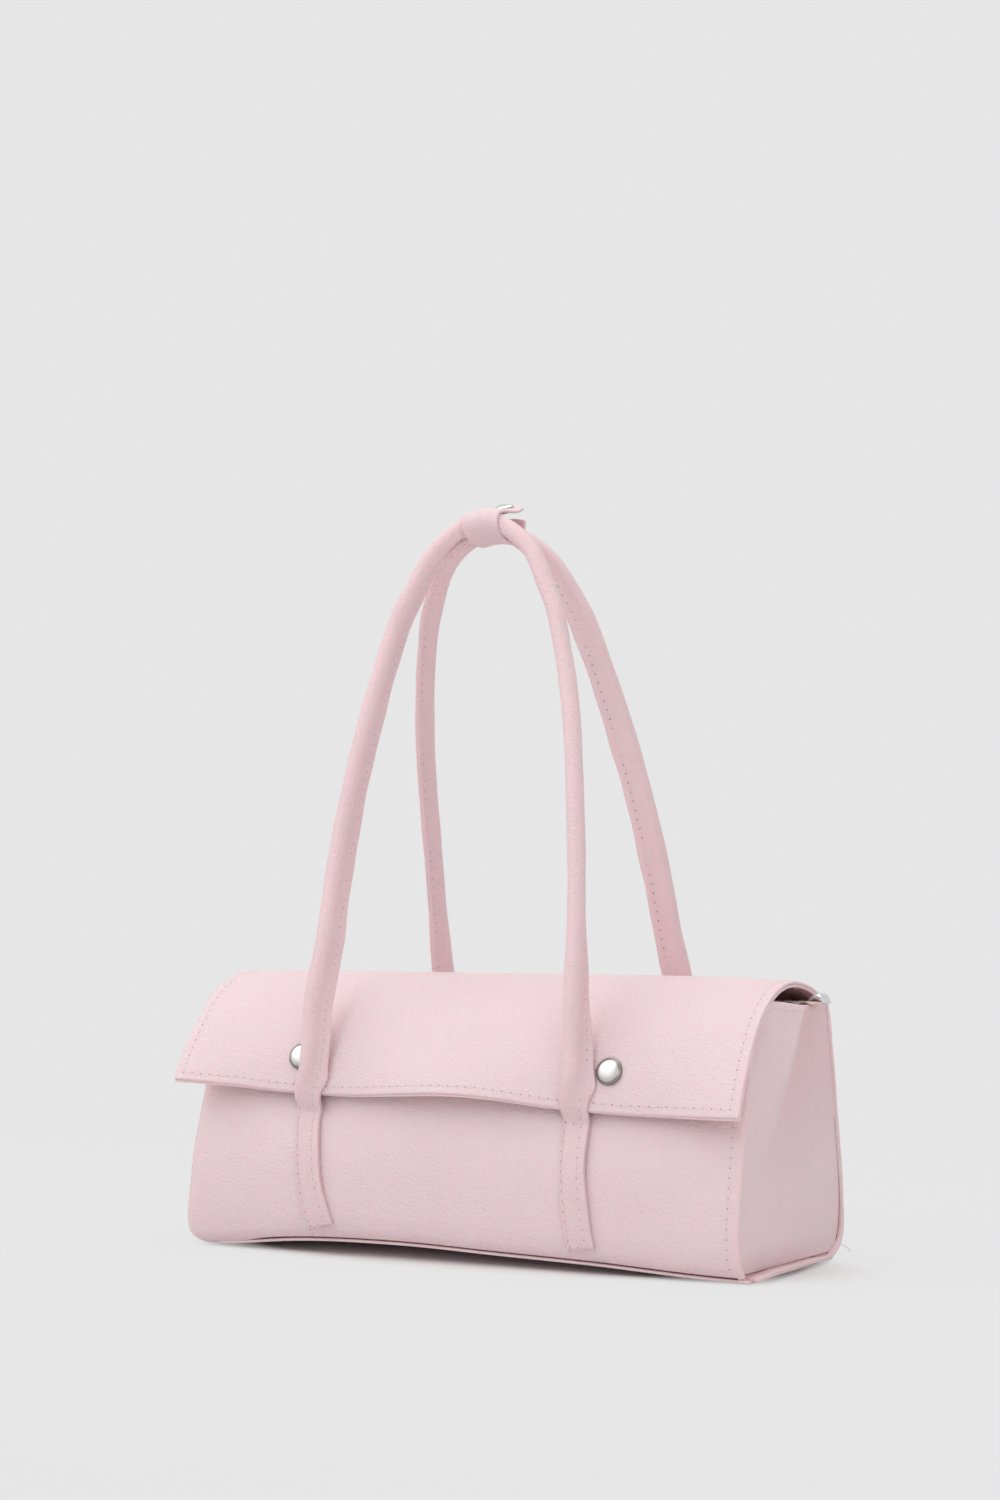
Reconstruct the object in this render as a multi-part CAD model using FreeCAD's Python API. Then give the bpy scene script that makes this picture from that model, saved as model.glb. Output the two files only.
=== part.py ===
"""Baguette bag: a soft box body with a tucked flap, two rolled handles, a handle keeper and a mouth zip.

Millimetres. The origin is the middle of the base on the surface it stands on, X runs along the bag's
width, -Y is the front and +Z is up. The body's end section lies in the YZ plane.
"""
import math
import os

import FreeCAD, Part
from FreeCAD import Matrix, Vector

# Body: end section
BODY_WIDTH = 280.0
BASE_FRONT = 43.0
BASE_BACK = 44.0
FRONT_BELLY = 53.0
FRONT_BELLY_HEIGHT = 20.0
FRONT_TOP = 34.5
FRONT_DROP = 10.0
BACK_BELLY = 56.0
BACK_BELLY_HEIGHT = 28.0
BACK_TOP = 42.0
BACK_HEIGHT = 112.0
GUSSET_SLOPE = 14.5

# Body: layers
LEATHER = 1.4
LINING = 0.8
BOARD = 2.0
SEAM_ALLOWANCE = 2.5
LAYER_GAP = 0.1
RUNNING_GAP = 0.4
CUTTER_PAST = 1.0
OPEN_TOP = 10.0

# Flap
FLAP_INSET = 1.5
FLAP_LAYER = 1.25
FLAP_SEAT = 2.5
FLAP_CREST_RISE = 9.5
FLAP_CREST_BACK = 38.0
FLAP_SHOULDER_RADIUS = 55.0
FLAP_FRONT_LENGTH = 86.0
FLAP_SKIRT_TURN = 16.0
FLAP_STANDOFF = 4.05
FLAP_END_LIFT = 23.0
FLAP_MIDDLE_LIFT = 13.0
HALVINGS = 50
FLAP_PRESSED_FROM = 53.0
FLAP_PRESSED_TO = 86.0

# Flap snaps
SNAP_X = 77.0
SNAP_FROM_EDGE = 17.0
SNAP_CAP_DIAMETER = 12.5
SNAP_CAP_RISE = 2.4
SNAP_PART_DIAMETER = 9.0
SNAP_PART_HEIGHT = 1.3
SNAP_POST_DIAMETER = 3.0
SNAP_BACK_THICKNESS = 0.6

# Handle tabs and strap roots
TAB_WIDTH = 12.5
TAB_THICKNESS = 2.6
TAB_BELOW_FLAP = 5.5
TAB_BOTTOM = 11.5
FRONT_TAB_TOP_OUT = (8.0, -3.0)
FRONT_TAB_BOTTOM_OUT = (2.0, -1.5)
REAR_TAB_OUT = 1.0
ROOT_BEND_HEIGHT = 5.5
ROOT_LENGTH = 36.0
ROOT_THICKNESS = 3.0
OVAL_SIDES = 12

# Handles
HANDLE_DIAMETER = 8.0
HANDLE_WALL = 1.2
HANDLE_PAST_FLAP = 2.8
HANDLE_HALF_SPREAD = 64.0
HANDLE_BEND_RADIUS = 110.0
HANDLE_TILT = 12.7
HANDLE_LEG_RADIUS = 600.0
HANDLE_LEG_LENGTH = 183.0
HANDLE_LEAN = 2.0

# Keeper round both handles
KEEPER_WIDTH = 19.5
KEEPER_THICKNESS = 1.4
KEEPER_ROOM_ABOVE = 1.2
KEEPER_ROOM_BELOW = 2.5
KEEPER_TAIL = 9.0
TONGUE_LENGTH = 12.0
TONGUE_LIFT = 8.0
KEEPER_CAP_DIAMETER = 10.0
KEEPER_CAP_RISE = 1.8
KEEPER_SNAP_DIAMETER = 7.0
KEEPER_SNAP_HEIGHT = 1.0

# Zip
ZIP_Y = 16.0
ZIP_TAPE_WIDTH = 9.5
ZIP_TAPE_THICKNESS = 0.7
ZIP_TEETH_WIDTH = 1.5
ZIP_TEETH_HEIGHT = 2.2
ZIP_DROP = 2.0
ZIP_LEFT_INSET = 14.0
ZIP_PART_INSET = 74.0
ZIP_RAMP_INSET = 42.0
ZIP_PARTING = 0.25
ZIP_JOINED_INSET = 28.0
ZIP_TAIL_OVERHANG = 7.0
SLIDER_LENGTH = 9.0
SLIDER_WIDTH = 8.0
SLIDER_PLATE = 1.1
BRIDGE_SIZE = 1.4
PIVOT_DIAMETER = 1.6
PIVOT_HEAD_DIAMETER = 3.0
PIVOT_HEAD = 0.7
PULL_LENGTH = 24.0
PULL_WIDTH = 5.0
PULL_THICKNESS = 1.2
STOP_LENGTH = 2.5
CLIP_LENGTH = 6.5
CLIP_THICKNESS = 0.7
CLIP_OVERHANG = 1.0

os.makedirs("parts", exist_ok=True)


def save(name, shape):
    """Write one node and print its volume and solid count."""
    shape.exportStep("parts/" + name + ".step")
    print(f"{name:24s} {len(shape.Solids)} solids, valid {shape.isValid()}, {shape.Volume:9.1f} mm3")


def box(x, y, z):
    """Box from three (low, high) pairs."""
    return Part.makeBox(x[1] - x[0], y[1] - y[0], z[1] - z[0], Vector(x[0], y[0], z[0]))


def belly_radius(belly, edge, height):
    """Radius of the arc that is upright at the belly and meets an edge point height away."""
    return ((belly - edge) ** 2 + height ** 2) / (2 * (belly - edge))


FRONT_HEIGHT = BACK_HEIGHT - FRONT_DROP
FRONT_RADIUS = belly_radius(FRONT_BELLY, FRONT_TOP, FRONT_HEIGHT - FRONT_BELLY_HEIGHT)
FRONT_CORNER = belly_radius(FRONT_BELLY, BASE_FRONT, FRONT_BELLY_HEIGHT)
BACK_RADIUS = belly_radius(BACK_BELLY, BACK_TOP, BACK_HEIGHT - BACK_BELLY_HEIGHT)
BACK_CORNER = belly_radius(BACK_BELLY, BASE_BACK, BACK_BELLY_HEIGHT)


def wall_depth(z, front, inset=0.0):
    """Distance of the front or back wall from the middle plane at height z, inset from its outer face."""
    belly, belly_height = (FRONT_BELLY, FRONT_BELLY_HEIGHT) if front else (BACK_BELLY, BACK_BELLY_HEIGHT)
    upper, lower = (FRONT_RADIUS, FRONT_CORNER) if front else (BACK_RADIUS, BACK_CORNER)
    radius = upper if z >= belly_height else lower
    return belly - radius + math.sqrt((radius - inset) ** 2 - (z - belly_height) ** 2)


def wall_edges(front, inset, floor, top):
    """Lower and upper arcs of one wall, from floor to top."""
    side = -1 if front else 1
    belly, belly_height = (FRONT_BELLY, FRONT_BELLY_HEIGHT) if front else (BACK_BELLY, BACK_BELLY_HEIGHT)
    heights = [floor, (floor + belly_height) / 2, belly_height, (belly_height + top) / 2, top]
    depths = [wall_depth(z, front, inset) for z in heights]
    depths[2] = belly - inset
    points = [Vector(0, side * depth, z) for depth, z in zip(depths, heights)]
    return [Part.Arc(*points[0:3]).toShape(), Part.Arc(*points[2:5]).toShape()], points[0], points[4]


def body_block(inset, floor, half_width, raised=0.0):
    """Solid of the body's end section, inset from its outer face, over the given half width."""
    front, front_low, front_high = wall_edges(True, inset, floor, FRONT_HEIGHT + raised)
    back, back_low, back_high = wall_edges(False, inset, floor, BACK_HEIGHT + raised)
    shoulder = Vector(0, front_high.y + GUSSET_SLOPE, back_high.z)
    top = [Part.makeLine(front_high, shoulder), Part.makeLine(shoulder, back_high)]
    wire = Part.Wire(Part.__sortEdges__(front + top + back + [Part.makeLine(back_low, front_low)]))
    face = Part.Face(wire)
    face.translate(Vector(-half_width, 0, 0))
    return face.extrude(Vector(2 * half_width, 0, 0))


HALF = BODY_WIDTH / 2
GUSSET_FACE = HALF - SEAM_ALLOWANCE
PILE = LEATHER + LAYER_GAP
REACH = 2 * BODY_WIDTH


def make_panels():
    """Front, bottom and back panels: one leather skin cut where it turns under the base."""
    skin = body_block(0, 0, HALF).cut(body_block(LEATHER, LEATHER, HALF + CUTTER_PAST, OPEN_TOP))
    front_cut = -(BASE_FRONT - LEATHER)
    back_cut = BASE_BACK - LEATHER
    under = box((-REACH, REACH), (front_cut, back_cut), (-CUTTER_PAST, LEATHER))
    walls = skin.cut(under)
    return {"front_panel": walls.common(box((-REACH, REACH), (-REACH, 0), (-REACH, REACH))),
            "bottom_panel": skin.common(under),
            "back_panel": walls.common(box((-REACH, REACH), (0, REACH), (-REACH, REACH)))}


def make_gusset(side):
    """End wall: a flat sheet whose edges turn outwards into the seam beside the panels."""
    outer = body_block(PILE, PILE, HALF)
    hollow = body_block(PILE + LEATHER, PILE + LEATHER, HALF + CUTTER_PAST, OPEN_TOP)
    near, far = GUSSET_FACE - LEATHER, HALF
    pan = outer.common(box((near, far), (-REACH, REACH), (0, REACH)))
    pan = pan.cut(hollow.common(box((GUSSET_FACE, REACH), (-REACH, REACH), (0, REACH))))
    return pan if side > 0 else pan.mirror(Vector(0, 0, 0), Vector(1, 0, 0))


LINING_FLOOR = LEATHER + BOARD + 2 * LAYER_GAP
LINING_HALF = GUSSET_FACE - LEATHER - LAYER_GAP
LINING_FACE = PILE + LINING


def make_lining():
    """Open-topped sack against the inside of the panels, gussets and base board."""
    outer = body_block(PILE, LINING_FLOOR, LINING_HALF)
    return outer.cut(body_block(LINING_FACE, LINING_FLOOR + LINING, LINING_HALF - LINING, OPEN_TOP))


def make_base_board():
    """Stiff board between bottom panel and lining, clear of the corner seams."""
    front = wall_depth(LEATHER, True, PILE) - LAYER_GAP
    back = wall_depth(LEATHER, False, PILE) - LAYER_GAP
    return box((-LINING_HALF, LINING_HALF), (-front, back), (PILE, PILE + BOARD))


def arc_run(point, heading, runs):
    """Left-turning arcs end to end, each from (radius, turn in degrees), as (centre, radius, from, to)."""
    arcs = []
    for radius, turn in runs:
        start = math.radians(heading - 90)
        end = start + math.radians(turn)
        centre = (point[0] - radius * math.cos(start), point[1] - radius * math.sin(start))
        arcs.append((centre, radius, start, end))
        point = (centre[0] + radius * math.cos(end), centre[1] + radius * math.sin(end))
        heading += turn
    return arcs


def on_arc(arc, angle, inset, x):
    """Point of an arc in the plane at x, moved towards its centre by inset."""
    (y, z), radius = arc[0], arc[1] - inset
    return Vector(x, y + radius * math.cos(angle), z + radius * math.sin(angle))


def flap_arcs(shoulder_turn):
    """Flap section from its sewn edge over the crest and the shoulder to the free edge of the skirt."""
    back_radius = belly_radius(FLAP_CREST_RISE, 0, FLAP_CREST_BACK)
    back_turn = math.degrees(math.asin(FLAP_CREST_BACK / back_radius))
    skirt = FLAP_FRONT_LENGTH - FLAP_SHOULDER_RADIUS * math.radians(shoulder_turn)
    skirt_radius = skirt / math.radians(FLAP_SKIRT_TURN)
    runs = [(back_radius, back_turn), (FLAP_SHOULDER_RADIUS, shoulder_turn), (skirt_radius, FLAP_SKIRT_TURN)]
    return arc_run((BACK_TOP, BACK_HEIGHT + FLAP_SEAT), 180 - back_turn, runs)


FLAP_THICKNESS = 2 * FLAP_LAYER + LAYER_GAP
FRONT_CENTRE = (FRONT_RADIUS - FRONT_BELLY, FRONT_BELLY_HEIGHT)


def from_edge(arcs, distance):
    """Arc and angle of the point that lies a distance back from the end of a run of arcs."""
    for arc in reversed(arcs):
        length = arc[1] * (arc[3] - arc[2])
        if distance <= length:
            break
        distance -= length
    return arc, arc[3] - distance / arc[1]


def flap_standoff(shoulder_turn):
    """Gap between the front panel and the inside of the flap where its snap sits."""
    arc, angle = from_edge(flap_arcs(shoulder_turn), SNAP_FROM_EDGE)
    inside = on_arc(arc, angle, FLAP_THICKNESS, 0)
    return math.hypot(inside.y - FRONT_CENTRE[0], inside.z - FRONT_CENTRE[1]) - FRONT_RADIUS


def pressed_turn():
    """Shoulder turn that leaves the wanted gap between flap and front panel, found by halving."""
    low, high = 0.0, 90.0
    for _ in range(HALVINGS):
        middle = (low + high) / 2
        if flap_standoff(middle) > FLAP_STANDOFF:
            low = middle
        else:
            high = middle
    return (low + high) / 2


FLAP_LEG_TURN = pressed_turn()
FLAP_SKIRT = flap_arcs(FLAP_LEG_TURN)[-1]
FLAP_FACE = FLAP_SKIRT[1] - FLAP_SKIRT[0][0]
FLAP_EDGE_Z = on_arc(FLAP_SKIRT, FLAP_SKIRT[3], 0, 0).z
FLAP_HALF_STATIONS = [(FLAP_PRESSED_FROM, FLAP_LEG_TURN), (FLAP_PRESSED_TO, FLAP_LEG_TURN),
                      (HALF - FLAP_INSET, FLAP_LEG_TURN - FLAP_END_LIFT)]
FLAP_STATIONS = ([(-x, turn) for x, turn in reversed(FLAP_HALF_STATIONS)]
                 + [(0.0, FLAP_LEG_TURN - FLAP_MIDDLE_LIFT)] + FLAP_HALF_STATIONS)
TAB_TOP = FLAP_EDGE_Z - TAB_BELOW_FLAP
HANDLE_START = TAB_TOP + ROOT_LENGTH
HANDLE_STANDOFF = FLAP_FACE + HANDLE_PAST_FLAP


def flap_sheet(outer, inner):
    """One leather layer of the flap, between two depths under its outer face, pressed in at the legs."""
    wires = []
    for x, turn in FLAP_STATIONS:
        arcs = flap_arcs(turn)
        edges = []
        for depth in (outer, inner):
            for arc in arcs:
                angles = (arc[2], (arc[2] + arc[3]) / 2, arc[3])
                edges.append(Part.Arc(*[on_arc(arc, a, depth, x) for a in angles]).toShape())
        for arc, angle in ((arcs[0], arcs[0][2]), (arcs[-1], arcs[-1][3])):
            edges.append(Part.makeLine(on_arc(arc, angle, outer, x), on_arc(arc, angle, inner, x)))
        wires.append(Part.Wire(Part.__sortEdges__(edges)))
    return Part.makeLoft(wires, True, True)


def snap_frame():
    """Seat of a flap snap at the right: outer face point and the outward direction there."""
    arc, angle = from_edge(flap_arcs(FLAP_LEG_TURN), SNAP_FROM_EDGE)
    return on_arc(arc, angle, 0, SNAP_X), Vector(0, math.cos(angle), math.sin(angle))


def dome(diameter, rise):
    """Pressed metal cap on the XY plane: a short straight rim under a shallow dome."""
    rim = rise / 3
    crown = rise - rim
    radius = belly_radius(crown, 0, diameter / 2)
    ball = Part.makeSphere(radius, Vector(0, 0, rise - radius))
    return Part.makeCylinder(diameter / 2, rise).common(ball)


def ring(diameter, bore, height):
    """Flat ring on the XY plane."""
    return Part.makeCylinder(diameter / 2, height).cut(Part.makeCylinder(bore / 2, height))


def along(shape, point, direction):
    """Carry a shape made on the XY plane to a point, with its Z axis along a direction."""
    moved = shape.copy()
    turn = FreeCAD.Rotation(Vector(0, 0, 1), direction)
    moved.Placement = FreeCAD.Placement(point, turn).multiply(moved.Placement)
    return moved


def both_sides(shape):
    """A solid and its mirror image across the middle of the width."""
    return Part.makeCompound([shape, shape.mirror(Vector(0, 0, 0), Vector(1, 0, 0))])


POST_HOLE = SNAP_POST_DIAMETER + 2 * LAYER_GAP


def post_hole(seat, outward, depth):
    """Hole for a snap's post, from one depth in front of its seat to two depths behind it."""
    return along(Part.makeCylinder(POST_HOLE / 2, 3 * depth), seat - outward * (2 * depth), outward)


def make_flap_snaps():
    """Caps with their posts through the flap, sockets on its inside, and the holes they pass through."""
    seat, outward = snap_frame()
    post = Part.makeCylinder(SNAP_POST_DIAMETER / 2, FLAP_THICKNESS + 3 * LAYER_GAP + SNAP_PART_HEIGHT / 2)
    post.translate(Vector(0, 0, -post.BoundBox.ZMax))
    cap = dome(SNAP_CAP_DIAMETER, SNAP_CAP_RISE).fuse(post).removeSplitter()
    cap = along(cap, seat + outward * LAYER_GAP, outward)
    inside = seat - outward * (FLAP_THICKNESS + 2 * LAYER_GAP)
    socket = along(ring(SNAP_PART_DIAMETER, POST_HOLE, SNAP_PART_HEIGHT), inside, outward * -1)
    return both_sides(cap), both_sides(socket), both_sides(post_hole(seat, outward, FLAP_THICKNESS))


def stud_frame():
    """Seat of a stud on the front panel, behind the flap's socket, and the outward direction there."""
    seat = snap_frame()[0]
    centre = Vector(SNAP_X, *FRONT_CENTRE)
    outward = (seat - centre).normalize()
    return centre + outward * FRONT_RADIUS, outward


def make_studs():
    """Studs riveted through the front panel, each with a flat back inside, and their holes."""
    seat, outward = stud_frame()
    stud = Part.makeCylinder(SNAP_PART_DIAMETER / 2, SNAP_PART_HEIGHT / 2)
    stud = stud.fuse(Part.makeCylinder(SNAP_POST_DIAMETER / 2, SNAP_PART_HEIGHT))
    post = Part.makeCylinder(SNAP_POST_DIAMETER / 2, LEATHER + LINING + 4 * LAYER_GAP)
    post.translate(Vector(0, 0, -post.BoundBox.ZMax))
    stud = along(stud.fuse(post).removeSplitter(), seat + outward * LAYER_GAP, outward)
    depth = LEATHER + LINING + 3 * LAYER_GAP
    plate = Part.makeCylinder(SNAP_PART_DIAMETER / 2, SNAP_BACK_THICKNESS)
    plate = along(plate, seat - outward * depth, outward * -1).cut(stud)
    return both_sides(stud), both_sides(plate), both_sides(post_hole(seat, outward, depth))


def tab_middle(front):
    """Distance of a tab's middle layer from the middle plane at its top, where the handle turns."""
    return wall_depth(TAB_TOP, front) + LAYER_GAP + TAB_THICKNESS / 2


def make_tab(front, top_x, bottom_x):
    """Flat end of a handle sewn on a panel, sheared sideways so that its ends stand at the two places."""
    over = body_block(-LAYER_GAP - TAB_THICKNESS, 0, HALF, OPEN_TOP)
    skin = over.cut(body_block(-LAYER_GAP, -CUTTER_PAST, HALF + CUTTER_PAST, OPEN_TOP))
    depth = (-REACH, 0) if front else (0, REACH)
    tab = skin.common(box((-TAB_WIDTH / 2, TAB_WIDTH / 2), depth, (TAB_BOTTOM, TAB_TOP)))
    slope = (top_x - bottom_x) / (TAB_TOP - TAB_BOTTOM)
    shear = Matrix(1, 0, slope, bottom_x - slope * TAB_BOTTOM, 0, 1, 0, 0, 0, 0, 1, 0, 0, 0, 0, 1)
    return tab.transformGeometry(shear)


def oval(x, y, z, width, thickness):
    """Many-sided oval in a level plane, as a closed wire."""
    points = []
    for step in range(OVAL_SIDES):
        angle = 2 * math.pi * (step + 0.5) / OVAL_SIDES
        points.append(Vector(x + width / 2 * math.cos(angle), y + thickness / 2 * math.sin(angle), z))
    return Part.makePolygon(points + points[:1])


def make_root(front, tab_x, handle_x):
    """Unfilled strap between tab and roll: it bends out round the flap's edge and gathers into a round."""
    side = -1 if front else 1
    tab_depth = tab_middle(front)
    bend_z = TAB_TOP + ROOT_BEND_HEIGHT
    behind = FLAP_FACE if front else wall_depth(bend_z, front)
    bend_depth = max(behind + RUNNING_GAP + ROOT_THICKNESS / 2, tab_depth)
    middle_z = (bend_z + HANDLE_START) / 2
    middle_x = (tab_x + handle_x) / 2
    middle_depth = (bend_depth + HANDLE_STANDOFF) / 2
    gathered_width = (TAB_WIDTH + HANDLE_DIAMETER) / 2
    gathered_thickness = (ROOT_THICKNESS + HANDLE_DIAMETER) / 2
    sections = [oval(tab_x, side * tab_depth, TAB_TOP, TAB_WIDTH, TAB_THICKNESS),
                oval(tab_x, side * bend_depth, bend_z, TAB_WIDTH, ROOT_THICKNESS),
                oval(middle_x, side * middle_depth, middle_z, gathered_width, gathered_thickness),
                oval(handle_x, side * HANDLE_STANDOFF, HANDLE_START, HANDLE_DIAMETER, HANDLE_DIAMETER)]
    return Part.makeLoft(sections, True, True)


def turned(vector, axis, degrees):
    """A vector turned about an axis through the origin."""
    return FreeCAD.Rotation(axis, degrees).multVec(vector)


X_AXIS, Y_AXIS = Vector(1, 0, 0), Vector(0, 1, 0)


def handle_path():
    """Centre line of the front handle, leaning left: a bend at each root, two long legs and the top arc.

    Each leg is drawn in the upright plane of the spread, then tilted towards the bag's middle and joined
    to the bend that starts upright at the root. The feet run on below the root, where the rod is cut level.
    """
    def bent(angle, radius):
        return radius * (1 - math.cos(angle)), radius * math.sin(angle)

    tilt = math.radians(HANDLE_TILT)
    bend_middle, bend_end = [Vector(0, *bent(a, HANDLE_BEND_RADIUS)) for a in (tilt / 2, tilt)]
    turn = math.asin(HANDLE_LEG_LENGTH / HANDLE_LEG_RADIUS)
    leg = [bent(a, HANDLE_LEG_RADIUS) for a in (turn / 2, turn)]
    half_top = HANDLE_HALF_SPREAD - leg[1][0]
    top_radius = half_top / math.cos(turn)
    apex = (HANDLE_HALF_SPREAD, leg[1][1] + top_radius * (1 - math.sin(turn)))

    def spread(inward, up, side):
        tilted = turned(Vector(0, 0, up), X_AXIS, -HANDLE_TILT)
        return Vector(side * (HANDLE_HALF_SPREAD - inward), 0, 0) + bend_end + tilted

    edges = []
    for side in (-1, 1):
        foot = Vector(side * HANDLE_HALF_SPREAD, 0, 0)
        edges.append(Part.makeLine(foot - Vector(0, 0, HANDLE_DIAMETER), foot))
        edges.append(Part.Arc(foot, foot + bend_middle, foot + bend_end).toShape())
        points = [spread(*p, side) for p in leg]
        edges.append(Part.Arc(foot + bend_end, *points).toShape())
    ends = [spread(*leg[1], side) for side in (-1, 1)]
    top = spread(*apex, 0)
    edges.append(Part.Arc(ends[0], top, ends[1]).toShape())
    path = Part.Wire(Part.__sortEdges__(edges))
    path.rotate(Vector(0, 0, 0), Y_AXIS, -HANDLE_LEAN)
    offset = Vector(0, -HANDLE_STANDOFF, HANDLE_START)
    path.translate(offset)
    return path, turned(top, Y_AXIS, -HANDLE_LEAN) + offset


def tube(path, diameter):
    """Round rod along a path."""
    edge = path.OrderedEdges[0]
    start = edge.valueAt(edge.FirstParameter)
    tangent = edge.tangentAt(edge.FirstParameter)
    profile = Part.Wire(Part.makeCircle(diameter / 2, start, tangent))
    return path.makePipeShell([profile], True, False)


def make_handle(path):
    """Leather cover rolled round a soft core."""
    inside = HANDLE_DIAMETER - 2 * HANDLE_WALL
    below = box((-REACH, REACH), (-REACH, REACH), (0, HANDLE_START))
    cover = tube(path, HANDLE_DIAMETER).cut(tube(path, inside)).cut(below)
    core = tube(path, inside - 2 * LAYER_GAP).cut(below)
    return cover, core


def make_keeper(apex):
    """Band open to the back round both handles, and the tongue at its top with the snap halves."""
    radius = HANDLE_DIAMETER / 2
    low = apex.z - radius - KEEPER_ROOM_BELOW
    high = apex.z + radius + KEEPER_ROOM_ABOVE
    nose = apex.y
    nose_radius = (high - low) / 2
    back = -apex.y + radius
    middle = (high + low) / 2
    x = (apex.x - KEEPER_WIDTH / 2, apex.x + KEEPER_WIDTH / 2)

    def rounded(grow, back_low, back_high):
        half = nose_radius + grow
        arm_low = box(x, (nose, back_low), (middle - half, middle))
        arm_high = box(x, (nose, back_high), (middle, middle + half))
        round_nose = Part.makeCylinder(half, KEEPER_WIDTH, Vector(x[0], nose, middle), X_AXIS)
        return arm_low.fuse([arm_high, round_nose]).removeSplitter()

    band = rounded(KEEPER_THICKNESS, back + KEEPER_TAIL, back).cut(rounded(0, REACH, REACH))
    hinge = Vector(apex.x, back + RUNNING_GAP, high + KEEPER_THICKNESS)
    tongue = box(x, (hinge.y, hinge.y + TONGUE_LENGTH), (high, high + KEEPER_THICKNESS))
    snap_y = hinge.y + TONGUE_LENGTH / 2
    cap = dome(KEEPER_CAP_DIAMETER, KEEPER_CAP_RISE)
    cap.translate(Vector(apex.x, snap_y, high + KEEPER_THICKNESS + LAYER_GAP))
    socket = Part.makeCylinder(KEEPER_SNAP_DIAMETER / 2, KEEPER_SNAP_HEIGHT)
    socket.translate(Vector(apex.x, snap_y, high - LAYER_GAP - KEEPER_SNAP_HEIGHT))
    for piece in (tongue, cap, socket):
        piece.rotate(hinge, X_AXIS, TONGUE_LIFT)
    stud = Part.makeCylinder(KEEPER_SNAP_DIAMETER / 2, KEEPER_SNAP_HEIGHT)
    stud.translate(Vector(apex.x, back + KEEPER_TAIL - KEEPER_SNAP_DIAMETER / 2, low + LAYER_GAP))
    print(f"keeper hinge y {hinge.y:.2f} z {hinge.z:.2f}")
    return {"keeper_band": band, "keeper_tongue": tongue, "keeper_cap": cap, "keeper_socket": socket,
            "keeper_stud": stud}


TAIL_Z = BACK_HEIGHT + LAYER_GAP + ZIP_TEETH_HEIGHT / 2
ZIP_TAIL_END = HALF + ZIP_TAIL_OVERHANG
ZIP_JOINED_START = HALF - ZIP_JOINED_INSET
ZIP_TEETH_END = ZIP_TAIL_END - CLIP_LENGTH - STOP_LENGTH - 2 * LAYER_GAP
ZIP_TAPE_NEAR = ZIP_TEETH_WIDTH + 2 * LAYER_GAP
ZIP_TAPE_FAR = ZIP_TAPE_NEAR + ZIP_TAPE_WIDTH


def zip_strip(front, near, far, height, end):
    """Strip along the zip, between two distances from its teeth line: by the mouth's edge, then the tail."""
    side = -1 if front else 1
    edge_z = (FRONT_HEIGHT if front else BACK_HEIGHT) - ZIP_DROP
    lining_depth = wall_depth(edge_z + ZIP_TAPE_THICKNESS, front, LINING_FACE)
    mouth = side * (lining_depth - 2 * LAYER_GAP - ZIP_TAPE_FAR)
    parting = ZIP_Y + (mouth - ZIP_Y) * ZIP_PARTING
    stations = [(ZIP_LEFT_INSET - HALF, mouth, edge_z), (HALF - ZIP_PART_INSET, mouth, edge_z),
                (HALF - ZIP_RAMP_INSET, parting, TAIL_Z), (ZIP_JOINED_START, ZIP_Y, TAIL_Z),
                (end, ZIP_Y, TAIL_Z)]
    wires = []
    for x, y, z in stations:
        low, high = z - height / 2, z + height / 2
        corners = [Vector(x, y + side * near, low), Vector(x, y + side * far, low),
                   Vector(x, y + side * far, high), Vector(x, y + side * near, high)]
        wires.append(Part.makePolygon(corners + corners[:1]))
    return Part.makeLoft(wires, True, True)


SLIDER_START = ZIP_JOINED_START - SLIDER_LENGTH / 2
SLIDER_INNER = ZIP_TEETH_HEIGHT / 2 + RUNNING_GAP
SLIDER_OUTER = SLIDER_INNER + SLIDER_PLATE
PIVOT = Vector(ZIP_JOINED_START, ZIP_Y, TAIL_Z + SLIDER_OUTER)
PIVOT_ROOM = PULL_THICKNESS + 2 * RUNNING_GAP


def around_teeth_line(x, half_width, low, high):
    """Box on the teeth line, given in heights from the middle of the tail."""
    return box(x, (ZIP_Y - half_width, ZIP_Y + half_width), (TAIL_Z + low, TAIL_Z + high))


def make_slider():
    """Plates above and below the teeth, joined by the bridge that parts them, with a headed pivot on top."""
    x = (SLIDER_START, SLIDER_START + SLIDER_LENGTH)
    upper = around_teeth_line(x, SLIDER_WIDTH / 2, SLIDER_INNER, SLIDER_OUTER)
    lower = around_teeth_line(x, SLIDER_WIDTH / 2, -SLIDER_OUTER, -SLIDER_INNER)
    bridge = around_teeth_line((x[0], x[0] + BRIDGE_SIZE), BRIDGE_SIZE / 2, -SLIDER_OUTER, SLIDER_OUTER)
    pivot = Part.makeCylinder(PIVOT_DIAMETER / 2, PIVOT_ROOM, PIVOT)
    head = Part.makeCylinder(PIVOT_HEAD_DIAMETER / 2, PIVOT_HEAD, PIVOT + Vector(0, 0, PIVOT_ROOM))
    return upper.fuse([lower, bridge, pivot, head]).removeSplitter()


def make_pull():
    """Flat tab with its eye round the slider's pivot, lying along the zip under the flap."""
    half = PULL_WIDTH / 2
    seat = PIVOT + Vector(0, 0, RUNNING_GAP)
    eye = Part.makeCylinder(half, PULL_THICKNESS, seat)
    tab = Part.makeBox(PULL_LENGTH, PULL_WIDTH, PULL_THICKNESS, seat - Vector(PULL_LENGTH, half, 0))
    hole = Part.makeCylinder(PIVOT_DIAMETER / 2 + LAYER_GAP, PULL_THICKNESS, seat)
    return tab.fuse(eye).removeSplitter().cut(hole)


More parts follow.
